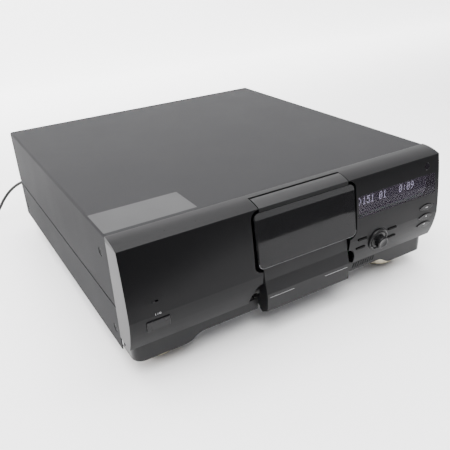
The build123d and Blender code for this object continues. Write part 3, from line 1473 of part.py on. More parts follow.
def corner_radii(points):
    """For each corner, the largest arc that leaves a tenth of the shorter run straight."""
    radii = []
    for before, corner, after in zip(points, points[1:], points[2:]):
        turn = radians((corner - before).get_angle(after - corner))
        shorter = min((corner - before).length, (after - corner).length)
        radii.append(0.45 * shorter / tan(turn / 2))
    return radii


run_radii = corner_radii(route)
with BuildPart() as cord_run:
    with BuildLine() as run_path:
        FilletPolyline(*route, radius=run_radii)
    with BuildSketch(Plane(origin=run_start, z_dir=route[1] - run_start)):
        Circle(cord_radius)
    sweep()
save(cord_run, "cord_run")
run_wire = run_path.wires()[0]
print("run length", round(run_wire.length, 1), "radii", [round(r, 1) for r in run_radii],
      "volume ratio", round(cord_run.part.volume / (section * run_wire.length), 4))

# The two-blade plug lies beside the coil, on the wire's upper end.
plug_length = 27.0
plug_width = 25.0
plug_taper = 28.0
blade_length = 17.0
blade_width = 6.3
blade_thick = 1.5
blade_spacing = 12.7
plug_half = coil_exit.Z - 0.2
with BuildPart() as mains_plug:
    entry = Plane(origin=coil_exit, x_dir=(0, 1, 0), z_dir=(-1, 0, 0))
    with BuildSketch(entry):
        Circle(cord_radius + 1)
    with BuildSketch(entry.offset(plug_taper)):
        Circle(cord_radius + 3)
    loft()
    with BuildSketch(entry.offset(plug_taper - 1)):
        RectangleRounded(plug_width - 6, 2 * plug_half - 3, 3)
    with BuildSketch(entry.offset(plug_taper + 10)):
        RectangleRounded(plug_width, 2 * plug_half, 4)
    loft()
    with BuildSketch(entry.offset(plug_taper + 10)):
        RectangleRounded(plug_width, 2 * plug_half, 4)
    extrude(amount=plug_length - 10)
    with BuildSketch(entry.offset(plug_taper + plug_length)):
        with Locations((-blade_spacing / 2, 0), (blade_spacing / 2, 0)):
            Rectangle(blade_thick, blade_width)
    extrude(amount=blade_length)
save(mains_plug, "mains_plug")
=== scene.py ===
from math import cos, pi, radians, sin

import bmesh
import bpy
from mathutils import Matrix, Vector


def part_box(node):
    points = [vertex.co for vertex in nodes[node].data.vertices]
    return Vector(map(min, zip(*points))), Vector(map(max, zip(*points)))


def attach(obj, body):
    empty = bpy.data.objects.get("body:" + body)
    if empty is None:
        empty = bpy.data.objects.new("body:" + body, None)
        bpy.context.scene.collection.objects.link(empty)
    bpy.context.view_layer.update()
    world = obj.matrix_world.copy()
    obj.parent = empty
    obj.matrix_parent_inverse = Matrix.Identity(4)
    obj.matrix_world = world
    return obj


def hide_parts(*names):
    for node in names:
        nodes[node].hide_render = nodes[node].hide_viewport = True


MM = 0.001

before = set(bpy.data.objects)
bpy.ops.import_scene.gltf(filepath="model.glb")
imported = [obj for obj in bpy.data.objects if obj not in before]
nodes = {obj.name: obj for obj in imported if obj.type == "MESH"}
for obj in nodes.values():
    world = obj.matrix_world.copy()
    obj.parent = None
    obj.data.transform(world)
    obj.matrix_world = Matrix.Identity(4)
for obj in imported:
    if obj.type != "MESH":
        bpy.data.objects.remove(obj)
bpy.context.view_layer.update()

# ---------------------------------------------------------------------------
# Shader nodes
# ---------------------------------------------------------------------------
NOISE_LOW, NOISE_HIGH = 0.3, 0.7  # nearly all of a noise's values lie between these
FINE_DETAIL = 3.0
TONE_SCALE = 14.0  # slow changes of tone to a metre
TONE_SHARE, GRAIN_SHARE = 0.6, 0.4
LEAST_ROUGHNESS = 0.02


def new_material(name, colour, roughness, metallic=0.0):
    """A principled material, its node tree and its shader."""
    material = bpy.data.materials.new(name)
    material.use_nodes = True
    tree = material.node_tree
    shader = tree.nodes["Principled BSDF"]
    shader.inputs["Base Color"].default_value = (*colour, 1.0)
    shader.inputs["Roughness"].default_value = roughness
    shader.inputs["Metallic"].default_value = metallic
    return material, tree, shader


def place_node(tree, scale=(1, 1, 1)):
    """Object coordinates in metres, stretched by scale."""
    where = tree.nodes.new("ShaderNodeTexCoord")
    mapping = tree.nodes.new("ShaderNodeMapping")
    mapping.inputs["Scale"].default_value = scale
    tree.links.new(where.outputs["Object"], mapping.inputs["Vector"])
    return mapping.outputs["Vector"]


def axis_node(tree, place, axis):
    """One coordinate of a place or a direction."""
    parts = tree.nodes.new("ShaderNodeSeparateXYZ")
    tree.links.new(place, parts.inputs["Vector"])
    return parts.outputs[axis]


def noise_node(tree, place, scale, detail=2.0):
    """A noise of scale grains to a metre."""
    noise = tree.nodes.new("ShaderNodeTexNoise")
    noise.inputs["Scale"].default_value = scale
    noise.inputs["Detail"].default_value = detail
    tree.links.new(place, noise.inputs["Vector"])
    return noise.outputs["Fac"]


def spread_node(tree, value, low, high, start=NOISE_LOW, end=NOISE_HIGH, smooth=False):
    """Turn the range start..end of a value into low..high."""
    spread = tree.nodes.new("ShaderNodeMapRange")
    if smooth:
        spread.interpolation_type = "SMOOTHSTEP"
    spread.inputs["From Min"].default_value = start
    spread.inputs["From Max"].default_value = end
    spread.inputs["To Min"].default_value = low
    spread.inputs["To Max"].default_value = high
    tree.links.new(value, spread.inputs["Value"])
    return spread.outputs["Result"]


def tint_node(tree, factor, dark, light):
    """A colour between dark and light."""
    mix = tree.nodes.new("ShaderNodeMix")
    mix.data_type = "RGBA"
    mix.inputs["A"].default_value = (*dark, 1.0)
    mix.inputs["B"].default_value = (*light, 1.0)
    tree.links.new(factor, mix.inputs["Factor"])
    return mix.outputs["Result"]


def math_node(tree, operation, first, second):
    """Arithmetic on two values, each a number or a node's output; the result stays from 0 to 1."""
    node = tree.nodes.new("ShaderNodeMath")
    node.operation = operation
    node.use_clamp = True
    for socket, value in zip(node.inputs, (first, second)):
        if isinstance(value, float):
            socket.default_value = value
        else:
            tree.links.new(value, socket)
    return node.outputs[0]


def bump_node(tree, shader, height, distance):
    """Raise the surface by height times distance."""
    bump = tree.nodes.new("ShaderNodeBump")
    bump.inputs["Distance"].default_value = distance
    bump.inputs["Strength"].default_value = 1.0
    tree.links.new(height, bump.inputs["Height"])
    tree.links.new(bump.outputs["Normal"], shader.inputs["Normal"])


def shades(colour, share):
    """The colour made darker and lighter by a share of itself."""
    return [c * (1 - share) for c in colour], [min(1.0, c * (1 + share)) for c in colour]


# ---------------------------------------------------------------------------
# Materials
# ---------------------------------------------------------------------------
def finish_of(name, colour, roughness, metallic=0.0, grain=900.0, depth=0.02, vary=0.12, haze=0.06,
              stretch=(1, 1, 1), gloss=0.5):
    """A surface with a fine grain, slow changes of tone and uneven gloss.

    grain is the number of grains to a metre, depth the grain's height in millimetres,
    vary the share by which the colour changes, haze the change in roughness and gloss
    the strength of the surface's shine.
    """
    material, tree, shader = new_material(name, colour, roughness, metallic)
    place = place_node(tree, stretch)
    fine = noise_node(tree, place, grain, FINE_DETAIL)
    broad = noise_node(tree, place, TONE_SCALE)
    blend = math_node(tree, "ADD", spread_node(tree, broad, 0.0, TONE_SHARE),
                      spread_node(tree, fine, 0.0, GRAIN_SHARE))
    tree.links.new(tint_node(tree, blend, *shades(colour, vary)), shader.inputs["Base Color"])
    smoothest = max(LEAST_ROUGHNESS, roughness - haze)
    tree.links.new(spread_node(tree, broad, smoothest, roughness + haze), shader.inputs["Roughness"])
    bump_node(tree, shader, fine, depth * MM)
    shader.inputs["Specular IOR Level"].default_value = gloss
    return material


DUST_SCALE, DUST_DETAIL, SMEAR_SCALE = 1500.0, 4.0, 25.0


def clear_plastic(name, colour, transmission, roughness=0.03, haze=0.03, ior=1.49, dust=0.12):
    """Tinted clear plastic; dust is the share by which its fine dust changes the tint."""
    material, tree, shader = new_material(name, colour, roughness)
    place = place_node(tree)
    specks = spread_node(tree, noise_node(tree, place, DUST_SCALE, DUST_DETAIL), 0.0, 1.0)
    smears = spread_node(tree, noise_node(tree, place, SMEAR_SCALE), roughness, roughness + haze)
    tree.links.new(tint_node(tree, specks, *shades(colour, dust)), shader.inputs["Base Color"])
    tree.links.new(smears, shader.inputs["Roughness"])
    shader.inputs["IOR"].default_value = ior
    shader.inputs["Transmission Weight"].default_value = transmission
    return material


MASK_GREEN, TRACK_GREEN = (0.015, 0.08, 0.035), (0.05, 0.20, 0.08)
TRACK_SCALE, TRACK_EDGE, MASK_EDGE, TRACK_DEPTH = 160.0, 0.06, 0.10, 0.03 * MM


def circuit_board(name):
    """Green solder mask over a net of tracks."""
    material, tree, shader = new_material(name, MASK_GREEN, 0.35)
    cells = tree.nodes.new("ShaderNodeTexVoronoi")
    cells.feature = "DISTANCE_TO_EDGE"
    cells.distance = "MANHATTAN"
    cells.inputs["Scale"].default_value = TRACK_SCALE
    tree.links.new(place_node(tree), cells.inputs["Vector"])
    tracks = spread_node(tree, cells.outputs["Distance"], 0.0, 1.0, TRACK_EDGE, MASK_EDGE)
    tree.links.new(tint_node(tree, tracks, TRACK_GREEN, MASK_GREEN), shader.inputs["Base Color"])
    bump_node(tree, shader, tracks, TRACK_DEPTH)
    return material


FACE_DARK, FACE_LIGHT = (0.004, 0.004, 0.0045), (0.006, 0.006, 0.0065)
FACE_GRAIN, FACE_GRAIN_DEPTH, FACE_GLOSS = 1600.0, 0.004 * MM, 0.115
FACE_ROUGHNESS, SHOULDER_ROUGHNESS = 0.29, 0.42
SHOULDER_START, SHOULDER_END = 7.0 * MM, 5.0 * MM  # below the bezel's top edge


def front_plastic(name):
    """The bezel's black plastic: satin on the shoulder, polished on the face."""
    material, tree, shader = new_material(name, FACE_DARK, FACE_ROUGHNESS)
    place = place_node(tree)
    fine = noise_node(tree, place, FACE_GRAIN, FINE_DETAIL)
    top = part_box("front_bezel")[1].z
    shoulder = spread_node(tree, axis_node(tree, place, "Z"), FACE_ROUGHNESS, SHOULDER_ROUGHNESS,
                           top - SHOULDER_START, top - SHOULDER_END)
    tree.links.new(shoulder, shader.inputs["Roughness"])
    tint = tint_node(tree, spread_node(tree, fine, 0.0, 1.0), FACE_DARK, FACE_LIGHT)
    tree.links.new(tint, shader.inputs["Base Color"])
    bump_node(tree, shader, fine, FACE_GRAIN_DEPTH)
    shader.inputs["Specular IOR Level"].default_value = FACE_GLOSS
    return material


def zinc_plate(name):
    """Bright zinc plated steel."""
    return finish_of(name, (0.56, 0.57, 0.58), 0.34, 1.0, grain=420.0, depth=0.004, vary=0.14)


# Painted shade on the chassis's front wall: how far behind its face it reaches, and its black.
SHADE_DEPTH = 2.5 * MM
SHADE_BLACK = (0.01, 0.01, 0.01, 1.0)


def shaded_front_steel(name):
    """Zinc plated steel with painted shade on its front wall: black and not metallic there, so the gaps in
    front of it look dark.
    """
    material = zinc_plate(name)
    tree = material.node_tree
    shader = tree.nodes["Principled BSDF"]
    painted_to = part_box("bottom_chassis")[0].y + SHADE_DEPTH
    painted = math_node(tree, "LESS_THAN", axis_node(tree, place_node(tree), "Y"), painted_to)
    bare = shader.inputs["Base Color"].links[0].from_socket
    mix = tree.nodes.new("ShaderNodeMix")
    mix.data_type = "RGBA"
    mix.inputs["B"].default_value = SHADE_BLACK
    tree.links.new(painted, mix.inputs["Factor"])
    tree.links.new(bare, mix.inputs["A"])
    tree.links.new(mix.outputs["Result"], shader.inputs["Base Color"])
    tree.links.new(math_node(tree, "SUBTRACT", 1.0, painted), shader.inputs["Metallic"])
    return material


GLOW_GRAIN, DIMMEST_SHARE = 700.0, 0.85


def glowing(name, colour, strength):
    """A lit phosphor dot, a little uneven."""
    material, tree, shader = new_material(name, (0.02, 0.03, 0.03), 0.4)
    uneven = spread_node(tree, noise_node(tree, place_node(tree), GLOW_GRAIN), 0.0, 1.0)
    dimmer = [c * DIMMEST_SHARE for c in colour]
    tree.links.new(tint_node(tree, uneven, dimmer, colour), shader.inputs["Emission Color"])
    shader.inputs["Emission Strength"].default_value = strength
    return material


def dim_tube(name):
    """The display tube's dark glass, with a faint even glow behind its dots."""
    material = finish_of(name, (0.006, 0.0056, 0.0072), 0.25, depth=0.003, vary=0.05, gloss=0.08)
    shader = material.node_tree.nodes["Principled BSDF"]
    shader.inputs["Emission Color"].default_value = (0.90, 0.84, 1.0, 1.0)
    shader.inputs["Emission Strength"].default_value = 0.055
    return material


# Painted and moulded black.
paint = finish_of("cover paint", (0.0165, 0.0165, 0.0175), 0.60, grain=1300.0, depth=0.05,
                  vary=0.08, haze=0.02, gloss=0.05)
rear_paint = finish_of("rear paint", (0.020, 0.020, 0.021), 0.45, grain=1300.0, depth=0.03)
front_black = front_plastic("front black")
satin_black = finish_of("satin black", (0.006, 0.006, 0.0065), 0.33, grain=1500.0, depth=0.012, gloss=0.20)
key_black = finish_of("key black", (0.005, 0.005, 0.0055), 0.24, grain=1500.0, depth=0.006, gloss=0.17)
# Painted shade: the slim keys get a darker, duller copy of the key plastic so they read as the shade in
# their gaps.
slim_key_painted_shade = finish_of("slim key painted shade", (0.002, 0.002, 0.002), 0.30, grain=1500.0, depth=0.006,
                           gloss=0.03)
door_black = finish_of("door black", (0.005, 0.005, 0.0055), 0.40, grain=1600.0, depth=0.004, gloss=0.22)
foot_black = finish_of("foot black", (0.016, 0.016, 0.016), 0.48, grain=1100.0, depth=0.05)
rack_black = finish_of("rack black", (0.022, 0.022, 0.024), 0.42, grain=1200.0)
cord_pvc = finish_of("cord pvc", (0.010, 0.010, 0.010), 0.36, grain=1400.0, depth=0.01)

# Metals.
steel = zinc_plate("zinc plated steel")
# The chassis steel carries painted shade on its front wall.
chassis_steel = shaded_front_steel("chassis steel")
drawn_steel = finish_of("drawn steel", (0.60, 0.60, 0.61), 0.22, 1.0, grain=500.0, depth=0.003,
                        stretch=(1, 0.05, 1))
motor_steel = finish_of("motor steel", (0.50, 0.50, 0.51), 0.30, 1.0, grain=500.0, depth=0.004,
                        stretch=(1, 1, 0.1))
core_iron = finish_of("core iron", (0.09, 0.09, 0.095), 0.45, 0.7, grain=700.0, depth=0.03,
                      stretch=(1, 0.1, 1))
screw_black = finish_of("black screw", (0.004, 0.004, 0.004), 0.38, depth=0.008, gloss=0.06)
gilt = finish_of("gilt trim", (0.88, 0.80, 0.62), 0.24, 1.0, grain=600.0, depth=0.003, vary=0.05)
jack_gold = finish_of("jack gold", (0.80, 0.60, 0.25), 0.18, 1.0, grain=800.0, depth=0.003)

# Inner pieces.
white_plastic = finish_of("white plastic", (0.72, 0.71, 0.66), 0.42, depth=0.01, vary=0.05)
felt = finish_of("glide felt", (0.62, 0.60, 0.55), 0.85, grain=2600.0, depth=0.12, vary=0.2)
board = circuit_board("circuit board")

# Panes, lenses and what glows behind them.
window_tint = clear_plastic("window tint", (0.012, 0.012, 0.013), 0.45, ior=1.26)
display_tint = clear_plastic("display tint", (0.30, 0.27, 0.33), 0.95, 0.0, 0.0, ior=1.12, dust=0.015)
lens_dark = clear_plastic("receiver lens", (0.012, 0.010, 0.013), 0.4, ior=1.22, dust=0.03)
lens_blue = clear_plastic("pickup lens", (0.35, 0.42, 0.75), 0.8, 0.01)
tube_dark = dim_tube("display tube")
lit_dot = glowing("lit dot", (0.82, 0.86, 0.95), 3.6)

# Lines, signs and the label.
# Light grey for the painted highlight along the pane's lower edge.
rim_highlight_grey = finish_of("window rim highlight", (0.20, 0.20, 0.21), 0.25, grain=1200.0, depth=0.002, vary=0.10)
# Light grey for the signs on the keys and above the power button, and for the painted highlight on the
# apron's crease.
print_and_highlight_grey = finish_of("printed sign and painted highlight", (0.42, 0.42, 0.43), 0.5, grain=1200.0, depth=0.004, vary=0.06)
sticker_grey = finish_of("label film", (0.034, 0.034, 0.035), 0.50, grain=1500.0, depth=0.006,
                         vary=0.06, gloss=0.10)

cad_finishes = {
    paint: ["top_cover"],
    front_black: ["front_bezel"],
    door_black: ["door_frame"],
    satin_black: ["front_skirt", "carousel_sensor", "clamp_puck", "turntable", "timer_slider", "dial_ring",
                  "hinge_brackets"],
    key_black: ["power_button", "play_key", "pause_key", "stop_key", "jog_dial"],
    slim_key_painted_shade: ["skip_back_key", "search_back_key", "skip_next_key", "search_next_key"],
    rear_paint: ["rear_panel"],
    chassis_steel: ["bottom_chassis"],
    steel: ["clamp_bracket", "motor_bracket", "player_frame"],
    drawn_steel: ["guide_rod", "hinge_pins", "lead_screw"],
    screw_black: ["cover_screws", "rear_screws", "foot_screws"],
    gilt: ["foot_rings"],
    jack_gold: ["output_jacks"],
    foot_black: ["feet"],
    rack_black: ["carousel_tray", "inner_rack", "outer_rack"],
    white_plastic: ["clamp_arm", "drive_pinion", "eject_lever", "guide_ring"],
    motor_steel: ["carousel_motor", "sled_motor", "spindle_motor"],
    core_iron: ["power_transformer", "pickup_sled"],
    cord_pvc: ["cord_gland", "cord_run", "cord_coil", "mains_plug"],
    felt: ["glide_pads"],
    board: ["front_board", "power_board", "main_board"],
    window_tint: ["door_window"],
    display_tint: ["display_window"],
    lens_dark: ["ir_lens"],
    lens_blue: ["pickup_lens"],
    tube_dark: ["display_tube"],
}
for material, names in cad_finishes.items():
    for node_name in names:
        mesh = nodes[node_name].data
        mesh.materials.clear()
        mesh.materials.append(material)


# ---------------------------------------------------------------------------
# Helpers for added pieces
# ---------------------------------------------------------------------------
RAY_START_Y = -1.0  # well in front of the player


def add_object(name, data):
    """An object in the scene."""
    item = bpy.data.objects.new(name, data)
    bpy.context.scene.collection.objects.link(item)
    return item


def mesh_from(name, bm):
    """A mesh of what bm holds; bm is freed."""
    mesh = bpy.data.meshes.new(name)
    bm.to_mesh(mesh)
    bm.free()
    return mesh


def add_block(bm, outline, place, thick):
    """A plate: a flat outline of (x, y) points on the plane of matrix place, raised by thick."""
    low = [bm.verts.new(place @ Vector((x, y, 0))) for x, y in outline]
    high = [bm.verts.new(place @ Vector((x, y, thick))) for x, y in outline]
    bm.faces.new(list(reversed(low)))
    bm.faces.new(high)
    count = len(outline)
    for i in range(count):
        j = (i + 1) % count
        bm.faces.new((low[i], low[j], high[j], high[i]))


def add_plates(name, plates, thick, material, body="case"):
    """One piece of thin plates, each an outline and its place, that rides on a body."""
    bm = bmesh.new()
    for outline, place in plates:
        add_block(bm, outline, place, thick)
    bmesh.ops.recalc_face_normals(bm, faces=bm.faces)
    mesh = mesh_from(name, bm)
    mesh.materials.append(material)
    piece = add_object(name, mesh)
    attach(piece, body)
    return piece


def add_wire(name, kind, points, radius, facets, material):
    """A round wire: straight from point to point for POLY, smooth along them for NURBS."""
    curve = bpy.data.curves.new(name, "CURVE")
    curve.dimensions = "3D"
    curve.bevel_depth = radius
    curve.bevel_resolution = facets
    curve.use_fill_caps = True
    spline = curve.splines.new(kind)
    spline.points.add(len(points) - 1)
    for target, place in zip(spline.points, points):
        target.co = (*place, 1.0)
    if kind == "NURBS":
        spline.order_u = 3
        spline.use_endpoint_u = True
        spline.resolution_u = 6
    curve.materials.append(material)
    return add_object(name, curve)


def rectangle(x, y, width, height):
    """Corners of a rectangle round (x, y)."""
    return [(x - width / 2, y - height / 2), (x + width / 2, y - height / 2),
            (x + width / 2, y + height / 2), (x - width / 2, y + height / 2)]


def rounded(width, height, radius, steps=5):
    """A rectangle with round corners, from the upper right corner round by the left."""
    points = []
    for corner in range(4):
        side_x = 1 if corner in (0, 3) else -1
        side_y = 1 if corner in (0, 1) else -1
        centre_x = side_x * (width / 2 - radius)
        centre_y = side_y * (height / 2 - radius)
        for step in range(steps + 1):
            angle = pi / 2 * (corner + step / steps)
            points.append((centre_x + radius * cos(angle), centre_y + radius * sin(angle)))
    return points


def upright(x, y, z):
    """A plane that faces the front at (x, y, z): its x runs right and its y runs up."""
    return Matrix.Translation((x, y, z)) @ Matrix.Rotation(radians(90), 4, "X")


def on_surface(node_name, x, z, lift):
    """A plane lying on a node's front at (x, z), found by a ray from the front."""
    _, place, normal, _ = nodes[node_name].ray_cast(Vector((x, RAY_START_Y, z)), Vector((0, 1, 0)))
    across = Vector((1, 0, 0))
    up = normal.cross(across).normalized()
    turned = Matrix((across, up, normal)).transposed().to_4x4()
    return Matrix.Translation(place + normal * lift) @ turned


def centre_of(node_name):
    """The middle of a node, seen from the front."""
    low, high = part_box(node_name)
    return (low.x + high.x) / 2, (low.z + high.z) / 2


# ---------------------------------------------------------------------------
# The display's characters, as dots on the tube behind the pane
# ---------------------------------------------------------------------------
DOT_ROWS = {
    "0": ("01110", "10001", "10011", "10101", "11001", "10001", "01110"),
    "1": ("00100", "01100", "00100", "00100", "00100", "00100", "01110"),
    "5": ("11111", "10000", "11110", "00001", "00001", "10001", "01110"),
    "9": ("01110", "10001", "10001", "01111", "00001", "00010", "01100"),
    ":": ("00000", "00100", "00100", "00000", "00100", "00100", "00000"),
    ")": ("11000", "00100", "00010", "00010", "00010", "00100", "11000"),
}
DISPLAY_TEXT = ")151 01   0:09"
MIDDLE_ROW, MIDDLE_COLUMN = 3, 2
CELL_PITCH = 6.83 * MM
FIRST_CELL_X = 90.5 * MM
TEXT_Z = 127.3 * MM
DOT_PITCH_X = 0.98 * MM
DOT_PITCH_Z = 1.48 * MM
DOT_WIDTH = 0.55 * MM
DOT_HEIGHT = 0.95 * MM
DOT_THICKNESS = 0.1 * MM


def character_dots():
    """The lit dots of the display, cell by cell."""
    tube_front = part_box("display_tube")[0].y
    dot = rectangle(0, 0, DOT_WIDTH, DOT_HEIGHT)
    for cell, character in enumerate(DISPLAY_TEXT):
        for row, dots in enumerate(DOT_ROWS.get(character, ())):
            for column, lit in enumerate(dots):
                if lit == "1":
                    x = FIRST_CELL_X + CELL_PITCH * cell + (column - MIDDLE_COLUMN) * DOT_PITCH_X
                    z = TEXT_Z + (MIDDLE_ROW - row) * DOT_PITCH_Z
                    yield dot, upright(x, tube_front, z)


add_plates("display_characters", character_dots(), DOT_THICKNESS, lit_dot)


# ---------------------------------------------------------------------------
# The bare label on the cover
# ---------------------------------------------------------------------------
LABEL_WIDTH, LABEL_DEPTH, LABEL_CORNER = 104 * MM, 50 * MM, 1.2 * MM
LABEL_FROM_SIDE, LABEL_FROM_FRONT = 1.6 * MM, 5.0 * MM
LABEL_THICKNESS, LABEL_SINK = 0.1 * MM, 0.05 * MM


def label_place():
    """The label's middle: near the cover's front left corner, half sunk in the paint."""
    low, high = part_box("top_cover")
    return Matrix.Translation((low.x + LABEL_FROM_SIDE + LABEL_WIDTH / 2,
                               low.y + LABEL_FROM_FRONT + LABEL_DEPTH / 2, high.z - LABEL_SINK))


label = [(rounded(LABEL_WIDTH, LABEL_DEPTH, LABEL_CORNER), label_place())]
add_plates("blank_label", label, LABEL_THICKNESS, sticker_grey)


# ---------------------------------------------------------------------------
# A painted highlight along the apron's crease
# ---------------------------------------------------------------------------
MARK_LIFT = -0.03 * MM  # a mark's underside, a sign's or a painted highlight's, lies this little inside the plastic
MARK_THICKNESS = 0.09 * MM
CREASE_Z = 52.4 * MM
APRON_LEFT, APRON_RIGHT = -56.75 * MM, 64.75 * MM
HIGHLIGHT_SPANS = ((0.03, 0.31), (0.69, 0.98))  # shares of the apron's width
HIGHLIGHT_HEIGHT = 0.35 * MM


def crease_highlights():
    """Two stretches of painted highlight, with the apron's middle left bare."""
    reach = APRON_RIGHT - APRON_LEFT
    for start, end in HIGHLIGHT_SPANS:
        middle = APRON_LEFT + reach * (start + end) / 2
        yield (rectangle(0, 0, reach * (end - start), HIGHLIGHT_HEIGHT),
               on_surface("door_frame", middle, CREASE_Z, MARK_LIFT))


add_plates("crease_highlight", crease_highlights(), MARK_THICKNESS, print_and_highlight_grey, "door")


# ---------------------------------------------------------------------------
# Signs on the keys and above the power button
# ---------------------------------------------------------------------------
SIGN = 1.5 * MM
SIGN_HEIGHT = SIGN * 1.2


def arrow(x):
    """A triangle that points right, x signs from the middle."""
    middle = x * SIGN
    left, right = middle - SIGN / 2, middle + SIGN / 2
    return [(left, -SIGN_HEIGHT / 2), (right, 0), (left, SIGN_HEIGHT / 2)]


def bar(x, width=0.25):
    """An upright bar, x signs from the middle."""
    return rectangle(x * SIGN, 0, width * SIGN, SIGN_HEIGHT)


KEY_SIGNS = {
    "play_key": [arrow(-0.55), arrow(0.45), bar(1.2, 0.22)],
    "pause_key": [rectangle(0, 0, SIGN, SIGN)],
    "stop_key": [arrow(-0.7), bar(0.35), bar(0.85)],
}
for key_name, outlines in KEY_SIGNS.items():
    key_place = on_surface(key_name, *centre_of(key_name), MARK_LIFT)
    plates = [(outline, key_place) for outline in outlines]
    add_plates(key_name + "_sign", plates, MARK_THICKNESS, print_and_highlight_grey, key_name)

POWER_SIGN_RISE = 3.2 * MM  # from the button's top edge to the sign's middle
POWER_SIGN_REACH = 2.6 * MM  # from the sign's middle to its bar and to its ring
POWER_SIGN_HEIGHT = 2.2 * MM
SLASH_REACH = 0.5 * MM
STROKE = 0.4 * MM
RING_INNER, RING_OUTER, RING_STEPS = 0.75 * MM, 1.1 * MM, 20


def power_sign():
    """A bar, a slash and a ring."""
    half = POWER_SIGN_HEIGHT / 2
    yield rectangle(-POWER_SIGN_REACH, 0, STROKE, POWER_SIGN_HEIGHT)
    yield [(-SLASH_REACH, -half), (STROKE - SLASH_REACH, -half),
           (SLASH_REACH, half), (SLASH_REACH - STROKE, half)]
    for step in range(RING_STEPS):
        start, end = 2 * pi * step / RING_STEPS, 2 * pi * (step + 1) / RING_STEPS
        corners = ((RING_INNER, start), (RING_OUTER, start), (RING_OUTER, end), (RING_INNER, end))
        yield [(POWER_SIGN_REACH + radius * cos(angle), radius * sin(angle))
               for radius, angle in corners]


power_x, _ = centre_of("power_button")
power_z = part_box("power_button")[1].z + POWER_SIGN_RISE
power_place = on_surface("front_bezel", power_x, power_z, MARK_LIFT)
power_plates = [(outline, power_place) for outline in power_sign()]
add_plates("power_sign", power_plates, MARK_THICKNESS, print_and_highlight_grey)


# ---------------------------------------------------------------------------
# A painted highlight along the window's lower edge, where it catches the light
# ---------------------------------------------------------------------------
WINDOW_WIDTH, WINDOW_SLOPE, WINDOW_CORNER = 141 * MM, 65.13 * MM, 7 * MM
WINDOW_CENTRE = Vector((4 * MM, -229.9 * MM, 124.75 * MM))
WINDOW_NORMAL = Vector((0, -0.9904, 0.1382))
RIM_INSET = 0.55 * MM
RIM_RADIUS, RIM_FACETS = 0.24 * MM, 2
RIM_CORNER_STEPS = 8


def rim_points():
    """The pane's bottom edge with its two round corners, a little inside the outline."""
    up = WINDOW_NORMAL.cross(Vector((1, 0, 0)))
    outline = rounded(WINDOW_WIDTH - 2 * RIM_INSET, WINDOW_SLOPE - 2 * RIM_INSET,
                      WINDOW_CORNER - RIM_INSET, RIM_CORNER_STEPS)
    return [WINDOW_CENTRE + Vector((x, 0, 0)) + up * y - WINDOW_NORMAL * RIM_INSET
            for x, y in outline if y < 0]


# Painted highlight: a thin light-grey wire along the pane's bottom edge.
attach(add_wire("window_rim_highlight", "POLY", rim_points(), RIM_RADIUS, RIM_FACETS, rim_highlight_grey), "door")


# ---------------------------------------------------------------------------
# Screws: the CAD screws with a cross recess in each head
# ---------------------------------------------------------------------------
CROSS_REACH = 0.56  # a share of the head's radius
CROSS_WIDTH, CROSS_DEPTH = 0.9 * MM, 1.1 * MM
CROSS_TURN, CROSS_SPREAD = 20, 300  # degrees, and degrees for each metre across
WELD_DISTANCE = 1e-6


def loose_parts(bm):
    """The vertices' places, for each group that hangs together."""
    left = set(bm.verts)
    while left:
        group, waiting = set(), [left.pop()]
        while waiting:
            vertex = waiting.pop()
            group.add(vertex)
            for link in vertex.link_edges:
                other = link.other_vert(vertex)
                if other in left:
                    left.remove(other)
                    waiting.append(other)
        yield [vertex.co.copy() for vertex in group]


def cross_outline(reach, width):
    """A plus sign."""
    half = width / 2
    return [(half, half), (half, reach), (-half, reach), (-half, half), (-reach, half), (-reach, -half),
            (-half, -half), (-half, -reach), (half, -reach), (half, -half), (reach, -half), (reach, half)]


def add_cross(cutters, screw, outward_of):
    """Add the cutter for one screw, given as the places of its vertices."""
    centre = sum(screw, Vector()) / len(screw)
    outward = outward_of(centre)
    top = max(point.dot(outward) for point in screw)
    radius = max((point - centre - outward * (point - centre).dot(outward)).length for point in screw)
    face_centre = centre + outward * (top - centre.dot(outward))
    facing = outward.to_track_quat("Z", "Y").to_matrix().to_4x4()
    turned = facing @ Matrix.Rotation(radians(CROSS_TURN + CROSS_SPREAD * centre.x), 4, "Z")
    place = Matrix.Translation(face_centre - outward * CROSS_DEPTH) @ turned
    add_block(cutters, cross_outline(radius * CROSS_REACH, CROSS_WIDTH), place, 2 * CROSS_DEPTH)


def recess_screws(node_name, outward_of):
    """A copy of a node's screws with a cross sunk into each head.

    outward_of gives the way a head faces, from its screw's centre.
    """
    bm = bmesh.new()
    bm.from_mesh(nodes[node_name].data)
    bmesh.ops.remove_doubles(bm, verts=bm.verts, dist=WELD_DISTANCE)
    cutters = bmesh.new()
    for screw in loose_parts(bm):
        add_cross(cutters, screw, outward_of)
    bmesh.ops.recalc_face_normals(cutters, faces=cutters.faces)
    piece = add_object(node_name + "_crossed", mesh_from(node_name + "_cut", bm))
    cutter = add_object(node_name + "_crosses", mesh_from(node_name + "_crosses", cutters))
    sink = piece.modifiers.new("crosses", "BOOLEAN")
    sink.object = cutter
    sink.operation = "DIFFERENCE"
    sink.solver = "EXACT"
    bpy.context.view_layer.update()
    done = bpy.data.meshes.new_from_object(piece.evaluated_get(bpy.context.evaluated_depsgraph_get()))
    piece.modifiers.clear()
    piece.data = done
    bpy.data.objects.remove(cutter)
    done.materials.clear()
    done.materials.append(screw_black)
    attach(piece, "case")
    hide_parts(node_name)


recess_screws("cover_screws", lambda centre: Vector((1, 0, 0)) if centre.x > 0 else Vector((-1, 0, 0)))
recess_screws("rear_screws", lambda centre: Vector((0, 1, 0)))
recess_screws("foot_screws", lambda centre: Vector((0, 0, -1)))


